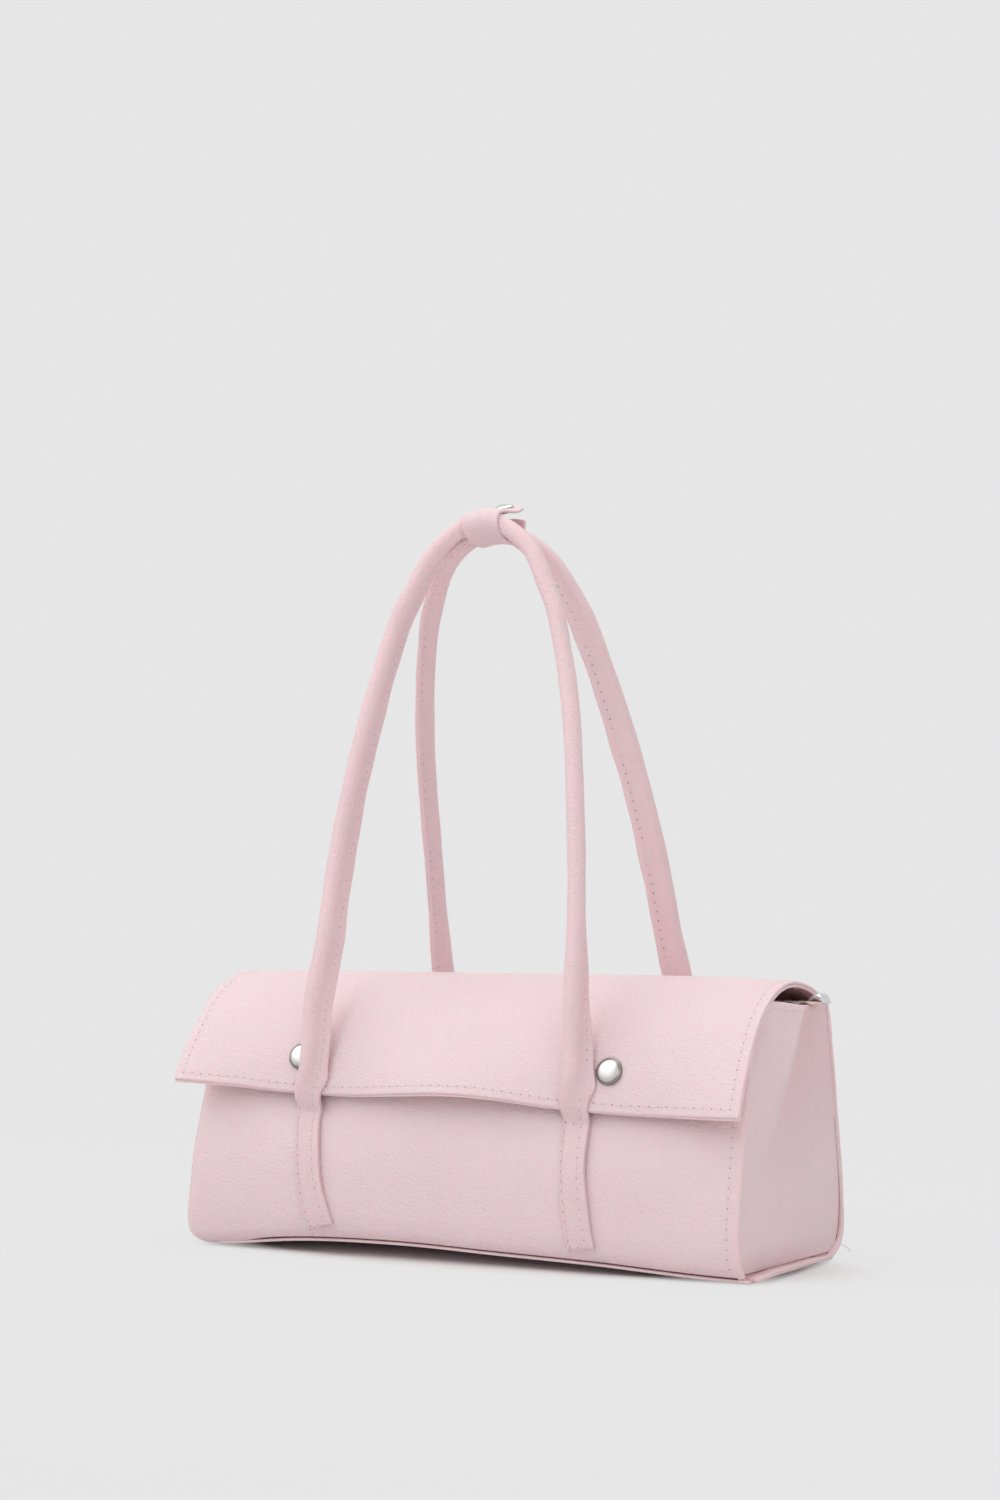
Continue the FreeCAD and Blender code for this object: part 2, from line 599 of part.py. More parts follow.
def make_zip():
    """Tapes, teeth, slider, pull, stop and the metal clip folded over the end of the tail."""
    pieces = {}
    tape = (ZIP_TAPE_NEAR, ZIP_TAPE_FAR, ZIP_TAPE_THICKNESS, ZIP_TAIL_END)
    teeth = (LAYER_GAP, LAYER_GAP + ZIP_TEETH_WIDTH, ZIP_TEETH_HEIGHT, ZIP_TEETH_END)
    for name, front in (("front", True), ("rear", False)):
        pieces[name + "_zip_tape"] = zip_strip(front, *tape)
        pieces[name + "_zip_teeth"] = zip_strip(front, *teeth)
    pieces["zip_slider"] = make_slider()
    pieces["zip_pull"] = make_pull()
    stop_x = ZIP_TEETH_END + LAYER_GAP
    stop_half = ZIP_TEETH_WIDTH + LAYER_GAP
    pieces["zip_stop"] = around_teeth_line((stop_x, stop_x + STOP_LENGTH), stop_half,
                                           -ZIP_TEETH_HEIGHT / 2, ZIP_TEETH_HEIGHT / 2)
    slot = ZIP_TAPE_THICKNESS / 2 + LAYER_GAP
    wide = ZIP_TAPE_FAR + CLIP_OVERHANG
    inner_end = ZIP_TAIL_END + LAYER_GAP
    clip_x = (ZIP_TAIL_END - CLIP_LENGTH, inner_end + CLIP_THICKNESS)
    clip = around_teeth_line(clip_x, wide, -slot - CLIP_THICKNESS, slot + CLIP_THICKNESS)
    pieces["zip_end_clip"] = clip.cut(around_teeth_line((clip_x[0], inner_end), wide, -slot, slot))
    return pieces


def build():
    """Make and save every node."""
    panels = make_panels()
    studs, stud_backs, stud_holes = make_studs()
    lining = make_lining().cut(stud_holes)
    panels["front_panel"] = panels["front_panel"].cut(stud_holes)
    for name, panel in panels.items():
        save(name, panel)
    save("left_gusset", make_gusset(-1))
    save("right_gusset", make_gusset(1))
    save("lining", lining)
    save("base_board", make_base_board())

    caps, sockets, cap_holes = make_flap_snaps()
    save("flap_outer", flap_sheet(0, FLAP_LAYER).cut(cap_holes))
    save("flap_lining", flap_sheet(FLAP_LAYER + LAYER_GAP, FLAP_THICKNESS).cut(cap_holes))
    save("snap_caps", caps)
    save("snap_sockets", sockets)
    save("snap_studs", studs)
    save("snap_stud_backs", stud_backs)

    for index, (word, side) in enumerate((("left", -1), ("right", 1))):
        handle_x = side * HANDLE_HALF_SPREAD
        top_x = handle_x + side * FRONT_TAB_TOP_OUT[index]
        bottom_x = handle_x + side * FRONT_TAB_BOTTOM_OUT[index]
        rear_x = handle_x + side * REAR_TAB_OUT
        save(f"front_{word}_tab", make_tab(True, top_x, bottom_x))
        save(f"front_{word}_root", make_root(True, top_x, handle_x))
        save(f"rear_{word}_tab", make_tab(False, rear_x, rear_x))
        save(f"rear_{word}_root", make_root(False, rear_x, handle_x))

    path, apex = handle_path()
    print(f"handle apex {apex.x:.2f} {apex.y:.2f} {apex.z:.2f}")
    print(f"handles turn at y {-tab_middle(True):.2f} and {tab_middle(False):.2f}, z {TAB_TOP:.2f}")
    print(f"flap turns at y {BACK_TOP - LEATHER / 2:.2f} z {BACK_HEIGHT + RUNNING_GAP:.2f}")
    cover, core = make_handle(path)
    across = (Vector(0, 0, 0), Y_AXIS)
    save("front_handle_cover", cover)
    save("front_handle_core", core)
    save("rear_handle_cover", cover.mirror(*across))
    save("rear_handle_core", core.mirror(*across))
    for name, piece in make_keeper(apex).items():
        save(name, piece)
    for name, piece in make_zip().items():
        save(name, piece)


build()
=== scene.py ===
"""Pale pink baguette bag: sewn leather body, tucked flap, two rolled handles, keeper and mouth zip.

Lengths are in millimetres until a mesh is made. +X is the bag's right end, -Y its front, +Z up.
"""

import bpy
import numpy as np
from mathutils import Matrix


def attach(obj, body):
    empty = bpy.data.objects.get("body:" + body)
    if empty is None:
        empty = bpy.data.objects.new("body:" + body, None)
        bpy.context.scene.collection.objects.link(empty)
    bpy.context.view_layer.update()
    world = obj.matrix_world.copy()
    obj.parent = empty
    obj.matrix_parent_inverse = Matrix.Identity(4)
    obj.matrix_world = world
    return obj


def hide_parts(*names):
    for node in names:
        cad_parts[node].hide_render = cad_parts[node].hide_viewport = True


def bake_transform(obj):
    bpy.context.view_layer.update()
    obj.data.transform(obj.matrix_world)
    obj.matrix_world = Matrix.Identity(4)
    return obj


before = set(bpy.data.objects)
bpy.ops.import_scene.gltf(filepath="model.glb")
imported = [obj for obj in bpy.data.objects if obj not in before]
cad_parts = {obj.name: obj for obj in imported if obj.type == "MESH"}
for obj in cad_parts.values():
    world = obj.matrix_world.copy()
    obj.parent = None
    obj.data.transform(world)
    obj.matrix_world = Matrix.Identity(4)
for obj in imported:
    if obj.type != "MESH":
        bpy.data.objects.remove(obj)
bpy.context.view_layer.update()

# Bottom panel: pebbled coated leather, sewn to the walls with its raw edge outwards.
# Its front edge is drawn up off the floor between the corners, the rest lies flat.

MM = 0.001
LEATHER = 1.4
PINK = (0.852, 0.64, 0.668)


class Signal:
    """A shader socket in arithmetic: each operator adds a Math node to its tree."""

    def __init__(self, tree, socket=None):
        self.tree = tree
        self.socket = socket

    def node(self, kind, settings=None, sockets=None, output=0):
        """Add a node, set it up, then give its sockets values or links; returns one output."""
        made = self.tree.nodes.new(kind)
        for key, value in (settings or {}).items():
            setattr(made, key, value)
        for key, value in (sockets or {}).items():
            if isinstance(value, Signal):
                self.tree.links.new(value.socket, made.inputs[key])
            else:
                made.inputs[key].default_value = value
        return Signal(self.tree, made.outputs[output])

    def math(self, operation, first, second=0.0):
        """One Math node on two values."""
        return self.node("ShaderNodeMath", {"operation": operation}, {0: first, 1: second})

    def __add__(self, other):
        return self.math("ADD", self, other)

    def __sub__(self, other):
        return self.math("SUBTRACT", self, other)

    def __rsub__(self, other):
        return self.math("SUBTRACT", other, self)

    def __mul__(self, other):
        return self.math("MULTIPLY", self, other)

    __radd__ = __add__
    __rmul__ = __mul__

    def clipped(self):
        """The value held between 0 and 1."""
        return self.node("ShaderNodeClamp", None, {0: self})

    def between(self, low, high):
        """Colour mixed from low to high by this value."""
        return self.node("ShaderNodeMix", {"data_type": "RGBA"}, {0: self.clipped(), 6: low, 7: high}, 2)

    def noise(self, scale, detail=2.0):
        """Cloudy noise over these coordinates."""
        return self.node("ShaderNodeTexNoise", None, {"Vector": self, "Scale": scale, "Detail": detail})

    def ribs(self, direction, scale):
        """Even waves over these coordinates, one after the other in a direction."""
        bands = {"bands_direction": direction}
        return self.node("ShaderNodeTexWave", bands, {"Vector": self, "Scale": scale})

    def into(self, shader, name):
        """Feed a shader's socket."""
        self.tree.links.new(self.socket, shader.inputs[name])

    def emboss(self, shader, strength, distance):
        """Let this height raise the shader's surface, by up to a distance in metres."""
        bump = {"Strength": strength, "Distance": distance, "Height": self}
        self.node("ShaderNodeBump", None, bump).into(shader, "Normal")


def finish(name, **constants):
    """A new material with constant sockets; returns it, its shader and its Object coordinates."""
    material = bpy.data.materials.new(name)
    material.use_nodes = True
    shader = material.node_tree.nodes["Principled BSDF"]
    for key, value in constants.items():
        shader.inputs[key.replace("_", " ")].default_value = value
    place = Signal(material.node_tree).node("ShaderNodeTexCoord", output="Object")
    return material, shader, place


def shade(colour, factor):
    """A linear colour made lighter or darker, with alpha."""
    return (*[min(1.0, c * factor) for c in colour], 1.0)


def pebbled_leather(name, colour, painted_shade=None):
    """Leather with rounded pebbles about a millimetre across, finer pores and slow changes of tone. Where a
    share made from its place is given, painted shade is mixed in: a deeper, redder colour that stands in for
    the shade in a fold. Its body lets some red light through."""
    material, shader, place = finish(name, Specular_IOR_Level=0.5, Subsurface_Weight=0.34,
                                     Subsurface_Radius=(1.0, 0.32, 0.3), Subsurface_Scale=0.0034)
    pebble = place.node("ShaderNodeTexVoronoi", {"feature": "SMOOTH_F1"},
                        {"Vector": place, "Scale": 920.0, "Smoothness": 0.3})
    pore = place.noise(2900.0)
    cloud = place.noise(24.0, 3.0)
    tone = 0.5 + (cloud - 0.5) * 0.9 + (0.45 - pebble) * 0.55
    mixed_colour = tone.between(shade(colour, 0.945), shade(colour, 1.045))
    if painted_shade:
        # Painted shade: where the share is given, the colour is darkened and reddened to stand in for shade.
        mixed_colour = painted_shade(place).between(mixed_colour, (colour[0] * 0.955, colour[1] * 0.83, colour[2] * 0.845, 1))
    mixed_colour.into(shader, "Base Color")
    (0.46 + pebble * 0.16).into(shader, "Roughness")
    (1.0 - pebble + pore * 0.35).emboss(shader, 0.7, 0.0004)
    return material


leather = pebbled_leather("pink_leather", PINK)


def unit(v):
    """Vectors brought to length one."""
    return v / np.maximum(np.linalg.norm(v, axis=-1, keepdims=True), 1e-9)


def ease(t):
    """Rise from 0 to 1 with level ends: 3t^2 - 2t^3, held outside."""
    t = np.clip(t, 0.0, 1.0)
    return t * t * (3.0 - 2.0 * t)


def through(t, stations, values):
    """Smooth curve through given stations: cubic Hermite pieces with central-difference slopes."""
    stations = np.asarray(stations, float)
    values = np.asarray(values, float)
    slope = np.gradient(values, stations)
    i = np.clip(np.searchsorted(stations, t, side="right") - 1, 0, len(stations) - 2)
    width = stations[i + 1] - stations[i]
    u = np.clip((t - stations[i]) / width, 0.0, 1.0)
    start_pull = u * (1.0 - u) ** 2 * width * slope[i]
    end_pull = u * u * (u - 1.0) * width * slope[i + 1]
    return values[i] + (values[i + 1] - values[i]) * ease(u) + start_pull + end_pull


def grid_normals(points):
    """Normals of a grid of points: cross product of its first and second directions."""
    return unit(np.cross(np.gradient(points, axis=0), np.gradient(points, axis=1)))


def add_object(name, data):
    """A new object in the scene, at the origin."""
    thing = bpy.data.objects.new(name, data)
    bpy.context.scene.collection.objects.link(thing)
    return thing


def new_piece(name, points, faces):
    """A smooth mesh object at the origin, from points in millimetres."""
    mesh = bpy.data.meshes.new(name)
    mesh.from_pydata((np.asarray(points) * MM).tolist(), [], faces)
    mesh.shade_smooth()
    return add_object(name, mesh)


def grid_faces(index):
    """Quads of a grid of point numbers, facing along first x second direction."""
    corners = index[:-1, :-1], index[1:, :-1], index[1:, 1:], index[:-1, 1:]
    return np.stack(corners, axis=-1).reshape(-1, 4).tolist()


def leather_sheet(name, outer, thickness):
    """Closed sheet: an outer grid, the same grid sunk by the thickness, a half-round rim between."""
    rim_steps = 5
    rows, columns = outer.shape[:2]
    size = rows * columns
    normal = grid_normals(outer)
    index = np.arange(size).reshape(rows, columns)
    rim = np.concatenate([index[0, :-1], index[:-1, -1], index[-1, :0:-1], index[:0:-1, 0]])
    edge = outer.reshape(-1, 3)[rim]
    up = normal.reshape(-1, 3)[rim]
    out = unit(np.cross(up, np.roll(edge, -1, axis=0) - np.roll(edge, 1, axis=0)))
    turn = np.linspace(0.0, np.pi, rim_steps + 1)[1:-1, None, None]
    rings = edge - up * (1 - np.cos(turn)) * thickness / 2 + out * np.sin(turn) * thickness / 2
    points = np.concatenate([outer.reshape(-1, 3), (outer - normal * thickness).reshape(-1, 3),
                             rings.reshape(-1, 3)])
    loops = [rim] + [2 * size + k * len(rim) + np.arange(len(rim)) for k in range(len(turn))] + [rim + size]
    loops = np.stack([np.append(loop, loop[0]) for loop in loops], axis=1)
    faces = grid_faces(index) + grid_faces(index.T + size) + grid_faces(loops)
    return new_piece(name, points, faces)


def fasten(piece, material, slot, body, *nodes):
    """Give a piece its finish, let it ride on a body and stand for its CAD nodes. The slot is not used."""
    piece.data.materials.append(material)
    if body:
        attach(piece, body)
    if nodes:
        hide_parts(*nodes)
    return piece


def foot_lift(x, y):
    """Height of the bottom over the floor: an arch along the front edge that fades out to the back."""
    arch = through(x, (-140, -118, -80, -28, 22, 70, 116, 140), (0.3, 1.4, 5.0, 6.2, 4.8, 3.4, 1.2, 0.6))
    return np.clip(arch, 0.0, None) * ease((8.0 - y) / 52.0)


def near_front(y):
    """0 over most of the depth, rising to 1 over the last 22 mm before the front."""
    return ease((-24.0 - y) / 22.0)


BOTTOM_HALF, BOTTOM_BACK, BOTTOM_FRONT = 138.4, 37.0, -46.6
CORNER_WIDE, CORNER_TALL = 16.0, 12.5
share, deep = np.meshgrid(np.linspace(-1, 1, 150), np.linspace(BOTTOM_BACK, BOTTOM_FRONT, 60), indexing="ij")
across = share * (BOTTOM_HALF - CORNER_WIDE * near_front(deep) * (share < 0))
bottom = np.stack([across, deep, foot_lift(across, deep)], axis=-1)
fasten(leather_sheet("bottom_panel_leather", bottom, LEATHER), leather, "leather", "body", "bottom_panel")

# Base board: stiff grey board laid loose between the bottom leather and the lining.
# It takes the same slight arch as the bottom.

board_finish, board_shader, place = finish("base_board_fibre", Roughness=0.85)
fibre = place.noise(420.0, 4.0)
fibre.between((0.30, 0.28, 0.26, 1), (0.42, 0.39, 0.36, 1)).into(board_shader, "Base Color")
fibre.emboss(board_shader, 0.3, 0.0003)
BOARD_HALF, BOARD_FRONT, BOARD_BACK, BOARD_TOP, BOARD = 134.0, -39.0, 41.0, 3.7, 2.0
across, deep = np.meshgrid(np.linspace(-BOARD_HALF, BOARD_HALF, 90), np.linspace(BOARD_FRONT, BOARD_BACK, 30),
                           indexing="ij")
board = np.stack([across, deep, foot_lift(across, deep) + BOARD_TOP], axis=-1)
fasten(leather_sheet("base_board_sheet", board, BOARD), board_finish, "base_board", "body", "base_board")

# Front panel: one piece of leather from the base seam to the mouth. It sags into a belly over the
# base and leans back above it; its side edges lap over the gussets and are sewn through.

FRONT_HEIGHT, FRONT_FOOT, LEFT_FOOT_DROP = 102.0, 2.4, 1.6


def front_side(x, height):
    """Distance of the front panel's side edge from the middle, on the side where x is: wider to the base."""
    left = through(height, (0, 12, 25, 50, 74, FRONT_HEIGHT), (139.4, 138.9, 137.5, 136.3, 135.4, 134.8))
    right = through(height, (0, 5, 12, 40, 62, FRONT_HEIGHT), (137.2, 136.0, 135.6, 136.4, 136.2, 135.6))
    return np.where(x < 0, left, right)


def front_wall(x, height):
    """Outer face of the front panel: a profile of depth by height, swollen in the middle of its width and
    rounded back to its left edge over 8 mm and to its right edge over 3 mm."""
    depth = through(height, (0, 2, 5, 10, 18, 26, 44, 54, 72, 88, FRONT_HEIGHT),
                    (45.6, 47.8, 50.2, 51.9, 52.9, 53, 51, 48.6, 43.6, 39.4, 35))
    swell = 2.2 * (1 - np.clip(x / 136.0, -1, 1) ** 4) * ease((height - 18) / 34)
    edge_run = np.where(x < 0, 8.0, 3.0)
    edge_drop = np.where(x < 0, 4.6, 0.9)
    edge = np.clip(1 - (front_side(x, height) - np.abs(x)) / edge_run, 0.0, 1.2)
    lifted = height + foot_lift(x, -45.0) * (1 - height / FRONT_HEIGHT)
    return np.stack([x + 0 * height, edge_drop * edge ** 2.2 - depth - swell, lifted], axis=-1)


def left_corner(height):
    """How far the lower left corner is cut in from the side: a quarter ellipse."""
    return CORNER_WIDE * (1 - np.sqrt(1 - np.clip(1 - height / CORNER_TALL, 0, 1) ** 2))


share, height = np.meshgrid(np.linspace(-1, 1, 200), np.linspace(0, 1, 90) ** 1.25, indexing="ij")
share = 1.25 * share - 0.25 * share ** 3
foot = FRONT_FOOT - LEFT_FOOT_DROP * ease((-share - 0.7) / 0.22)
height = foot + (FRONT_HEIGHT - foot) * height
front = front_wall(share * (front_side(share, height) - left_corner(height) * (share < 0)), height)
fasten(leather_sheet("front_panel_leather", front, LEATHER), leather, "leather", "body", "front_panel")

# Stitching: thick pink thread, sewn by machine and laid in short bumps along every edge. Each end of a stitch
# is pulled down into a needle hole, drawn as a small flat disc painted dark for the shade inside the hole.

thread, thread_shader, place = finish("pink_thread", Roughness=0.6)
twist = place.noise(5200.0)
twist.between(shade(PINK, 0.92), shade(PINK, 1.03)).into(thread_shader, "Base Color")
twist.emboss(thread_shader, 0.4, 0.0001)
# Painted shade: each needle hole is a flat disc in a dark colour that stands for the shade inside the hole.
painted_hole_shade, hole_shader, place = finish("needle_hole_shade", Roughness=0.9)
place.noise(3000.0).between((0.20, 0.105, 0.11, 1), (0.36, 0.21, 0.22, 1)).into(hole_shader, "Base Color")


def reach_along(line):
    """Distance of each point of a line from its start, along the line."""
    return np.append(0, np.cumsum(np.linalg.norm(np.diff(line, axis=0), axis=1)))


def read_along(spot, reach, values):
    """Rows of values read at distances along a line, straight between its points."""
    return np.stack([np.interp(spot, reach, column) for column in values.T], axis=-1)


def hexagon():
    """Angles of the six corners of a small round thing."""
    return np.linspace(0, 2 * np.pi, 7)[:-1]


def stitching(name, rows, pitch=4.3, pit_radius=0.3):
    """Stitches along rows of (line, normal): half-ellipsoid bumps of thread and six-sided needle holes, flat
    discs painted dark with the shade in them.
    """
    half_long, half_wide, tall, pit_lift = 0.38 * pitch, 0.32, 0.2, 0.07
    along, over = np.meshgrid(np.linspace(-1, 1, 6), np.linspace(0, np.pi, 4), indexing="ij")
    belly = np.sqrt(1.02 - along ** 2)
    bump = np.stack([along * half_long, -np.cos(over) * half_wide * belly, np.sin(over) * tall * belly], -1)
    bump_faces = np.array(grid_faces(np.arange(along.size).reshape(along.shape)))
    clock = hexagon()
    pit = np.stack([np.cos(clock) * pit_radius, np.sin(clock) * pit_radius, 0 * clock + pit_lift], axis=-1)
    pit_faces = np.arange(len(pit))[None]
    points, faces, inks, count = [], [], [], 0
    for line, normal in rows:
        reach = reach_along(line)
        slope = np.gradient(line, reach, axis=0)
        number = max(1, int(round(reach[-1] / pitch)))
        for form, form_faces, ink, where in ((bump.reshape(-1, 3), bump_faces, 0, np.arange(number) + 0.5),
                                             (pit, pit_faces, 1, np.arange(number + 1.0))):
            spot = where * reach[-1] / number
            centre = read_along(spot, reach, line)
            up = unit(read_along(spot, reach, normal))
            way = read_along(spot, reach, slope)
            way = unit(way - up * np.sum(way * up, axis=-1, keepdims=True))
            axes = np.stack([way, np.cross(up, way), up], axis=1)
            points.append((centre[:, None] + form @ axes).reshape(-1, 3))
            offset = count + np.arange(len(spot))[:, None, None] * len(form)
            new_faces = (form_faces[None] + offset).reshape(-1, form_faces.shape[1]).tolist()
            faces += new_faces
            inks += [ink] * len(new_faces)
            count += len(spot) * len(form)
    piece = new_piece(name, np.concatenate(points), faces)
    piece.data.materials.append(thread)
    piece.data.materials.append(painted_hole_shade)
    piece.data.polygons.foreach_set("material_index", inks)
    return piece


height = np.linspace(6.0, 84.0, 80)
nudge = 0.3
rows = []
for side, inset in ((-1, 1.6), (1, 4.6)):
    x = side * (front_side(side, height) - inset)
    line = front_wall(x, height)
    across = front_wall(x + nudge, height) - front_wall(x - nudge, height)
    rows.append((line, unit(np.cross(across, np.gradient(line, axis=0)))))
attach(stitching("front_panel_stitches", rows, 4.2), "body")

# Back panel: the same leather, a little taller than the front. It bellies out over the base and
# carries the flap's sewn strip and the rear handle.

BACK_HEIGHT, BACK_FOOT = 112.0, 0.7


def back_side(height):
    """Half width of the back panel: a little more where it bellies out low down."""
    return 139.4 + 1.4 * (1 - ease((height - 20.0) / 50.0))


def back_wall(x, height):
    """Outer face of the back panel: a profile of depth by height."""
    depth = through(height, (0, 2.4, 5.8, 11, 16, 26, 40, 55, 73, 87, 100, BACK_HEIGHT),
                    (36, 41.5, 47.5, 51.5, 53.2, 54.5, 54.4, 53, 50.6, 48, 44.8, 42))
    return np.stack([x + 0 * height, depth, height + 0 * x], axis=-1)


share, height = np.meshgrid(np.linspace(1, -1, 130), np.linspace(0, 1, 90) ** 1.3, indexing="ij")
height = BACK_FOOT + (BACK_HEIGHT - BACK_FOOT) * height
back = back_wall(share * back_side(height), height)
fasten(leather_sheet("back_panel_leather", back, LEATHER), leather, "leather", "body", "back_panel")

# Gussets: the two end walls, sewn under the front panel's edge and edge to edge with back and bottom.
# Pressed from above, each folds outwards on a ridge that runs down from its hemmed top.

RIDGE_OUT = {1: 10.0, -1: 6.5}
GUSSET_FOOT = 1.6


def gusset_wall(p, q, side):
    """End wall by share from front to back (p) and from bottom to top (q): a web between its two seams,
    pulled out like a tent along a slanting ridge and softly swollen low down. Its top edge dips to the
    back."""
    level = GUSSET_FOOT + q * (BACK_HEIGHT - GUSSET_FOOT)
    seam_level = np.minimum(level, FRONT_HEIGHT)
    front_x = front_side(side, seam_level) - (1.6 if side > 0 else 0.6)
    seam_front = front_wall(side * front_x, seam_level)[..., 1] + LEATHER + 0.2
    seam_back = back_wall(0 * q, level)[..., 1] - 0.6
    y = seam_front + (seam_back - seam_front) * p
    ridge_y = through(level, (0, 50, 58, 67, 78, 90, 101, BACK_HEIGHT),
                      (-24.5, -24.4, -24, -22.7, -20, -15.2, -9.2, -2))
    ridge_p = (ridge_y - seam_front) / (seam_back - seam_front)
    rise = p / ridge_p
    fall = ((1 - p) / (1 - ridge_p)) ** 1.5
    softness = 0.003 + 0.05 * (1 - ease((level - 55.0) / 40.0))
    tent = 0.5 * (rise + fall - np.sqrt((rise - fall) ** 2 + softness))
    pull = RIDGE_OUT[side] * ease((level - 40.0) / 60.0)
    edge_x = front_x + (back_side(level) - 0.4 - front_x) * p
    edge_x = edge_x - left_corner(level) * near_front(y) * (side < 0)
    swell = 3.2 * np.sin(np.pi * np.clip(p, 0, 1)) * ease(q / 0.12) * (1 - ease((q - 0.1) / 0.8))
    shoulder = 10.0 * ease((-25.0 - y) / 12.0) * q ** 8
    top = (2.4 * ease((4.0 - y) / 26.0) - np.exp(-((y - 24.0) / 9.0) ** 2)) * q ** 10
    return np.stack([side * (edge_x + tent * pull + swell), y, level - shoulder + top], axis=-1)


def ridge_shade_mask(place):
    """Share of painted shade: 1 on the upper end wall just behind its ridge, where shade falls, fading
    downwards and to the back; place is in metres.
    """
    depth, level = (place.node("ShaderNodeSeparateXYZ", None, {0: place}, axis) for axis in (1, 2))
    behind = ((depth + 0.024 - (level - 0.058) * 0.4) * 350.0).clipped()
    return behind * ((level - 0.035) * 16.0).clipped() * (1.0 - ((depth - 0.005) * 18.0).clipped() * 0.6)


# The end walls' leather has shade painted into its colour just behind the ridge.
ridge_shaded_leather = pebbled_leather("ridge_shaded_leather", PINK, ridge_shade_mask)
gussets = {}
for name, side in (("right_gusset", 1), ("left_gusset", -1)):
    p, q = np.meshgrid(np.linspace(0, 1, 120)[::side], np.linspace(0, 1, 100), indexing="ij")
    gussets[name] = gusset_wall(p, q, side)
    fasten(leather_sheet(name + "_leather", gussets[name], LEATHER), ridge_shaded_leather, "leather", "body", name)

hem = np.s_[4:-3, -3]
rows = [(wall[hem], grid_normals(wall)[hem]) for wall in gussets.values()]
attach(stitching("gusset_hem_stitches", rows, 4.0, 0.2), "body")

# Seam allowances: the raw edges left standing outwards under each end, round its back corner and some way up
# the back. They are two skived leathers thick; a thin dark line of painted shade, with the sewing in it, lies
# in the crease against the end wall, and two cut thread ends stand out at the right end's corners.


def round_index(rows, columns):
    """Point numbers of rows of closed rings, with each ring's first point again at its end."""
    index = np.arange(rows * columns).reshape(rows, columns)
    return np.concatenate([index, index[:, :1]], axis=1)


def closed_tube(name, points):
    """A piece from rows of closed rings of points, with flat ends."""
    index = round_index(*points.shape[:2])
    ends = [index[0, -2::-1].tolist(), index[-1, :-1].tolist()]
    return new_piece(name, points.reshape(-1, 3), grid_faces(index.T) + ends)


def swept(name, path, ring_f, ring_g, first, second):
    """A closed ring of offsets carried along a path: point + f * first + g * second."""
    return closed_tube(name, path[:, None] + ring_f[..., None] * first[:, None]
                       + ring_g[..., None] * second[:, None])


def lip_ring(width, thick):
    """Section of a two-layer raw edge along a path: a flat strip, as wide as it stands proud at each point,
    with rounded outer corners and a groove between the layers."""
    f = np.array((-0.5, 0.38, 0.47, 0.5, 0.44, 0.5, 0.47, 0.38, -0.5))
    g = np.array((-0.5, -0.5, -0.38, -0.2, 0.0, 0.2, 0.38, 0.5, 0.5))
    return f * width[:, None], np.tile(g * thick, (len(width), 1))


def line_tube(name, line, radius):
    """A thin six-sided tube along a line, of one radius or of a column of radii along the line. It draws the
    thread ends and the painted shade line in the end walls' creases.
    """
    way = unit(np.gradient(line, axis=0))
    first = unit(np.cross(way, (0.1, 0.2, 1.0)))
    clock = np.tile(hexagon(), (len(line), 1))
    return swept(name, line, radius * np.cos(clock), radius * np.sin(clock), first, np.cross(way, first))


# Painted shade: a dark reddish line laid in the crease against each end wall, standing for the crease's shade
# and the sewing in it.
painted_crease_shade, seam_shader, place = finish("painted_crease_shade", Roughness=0.85)
place.noise(2400.0).between((0.34, 0.13, 0.11, 1), (0.52, 0.27, 0.24, 1)).into(seam_shader, "Base Color")

SEAM, SEAM_INSET, SEAM_X, SEAM_TOP = 2.0, 0.4, 137.6, 62.0
for name, side in (("left", -1), ("right", 1)):
    height = SEAM_TOP * np.linspace(0, 1, 70)[1:] ** 1.4
    deep = np.linspace(-45.5, 35.0, 60)
    under = np.stack([0 * deep, deep, foot_lift(side * 138.0, deep)], axis=-1)
    path = np.concatenate([under, back_wall(0 * height, height)])
    way = unit(np.gradient(path, axis=0))
    path += np.cross((1.0, 0.0, 0.0), way) * (SEAM / 2 + SEAM_INSET)
    lifted = 0.6 + 0.9 * ease((path[:, 1] + 44.0) / 20.0) * ease((34.0 - path[:, 1]) / 20.0)
    path[:, 2] += lifted * (1 - ease(path[:, 2] / 8.0))
    corner = near_front(path[:, 1]) * (side < 0)
    proud = (5.2 - 2.6 * ease((path[:, 2] - 4.0) / 46.0)) * (1 - 0.8 * corner)
    path[:, 0] = side * (SEAM_X - 10.0 * corner + proud / 2)
    out = np.tile((float(side), 0.0, 0.0), (len(path), 1))
    edge = swept(name + "_end_seam_edge", path, *lip_ring(proud, SEAM), out, np.cross(way, out))
    fasten(edge, leather, "leather", "body")
    # The painted shade line in the crease is read off the end wall's grid: along its foot, then up beside its
    # back edge.
    wall = gussets[name + "_gusset"][::side]
    crease = np.concatenate([wall[5:-3, 2], wall[-4, 3:55]])
    radius = 0.06 + 0.22 * ease(np.arange(len(crease))[::-1, None] / 40.0)
    fasten(line_tube(name + "_crease_shade_line", crease, radius), painted_crease_shade, "leather", "body")

bow = np.linspace(0, 1, 12)[:, None]
for name, first, middle, last in (("rear", (142.6, 47.5, 6.4), (144.8, 48.4, 5.8), (146.2, 49.6, 3.2)),
                                  ("front", (138.4, -46.4, 1.6), (138.8, -47.8, 1.2), (139.8, -48.4, 0.3))):
    line = (1 - bow) ** 2 * first + 2 * bow * (1 - bow) * middle + bow ** 2 * last
    fasten(line_tube(name + "_thread_end", line, 0.16), thread, "leather", "body")

# Lining: a sack of red-pink woven cloth, a little smaller than the leather shell that it hangs in.
# Its upper edge is sewn in along the mouth, and its floor lies over the base board.

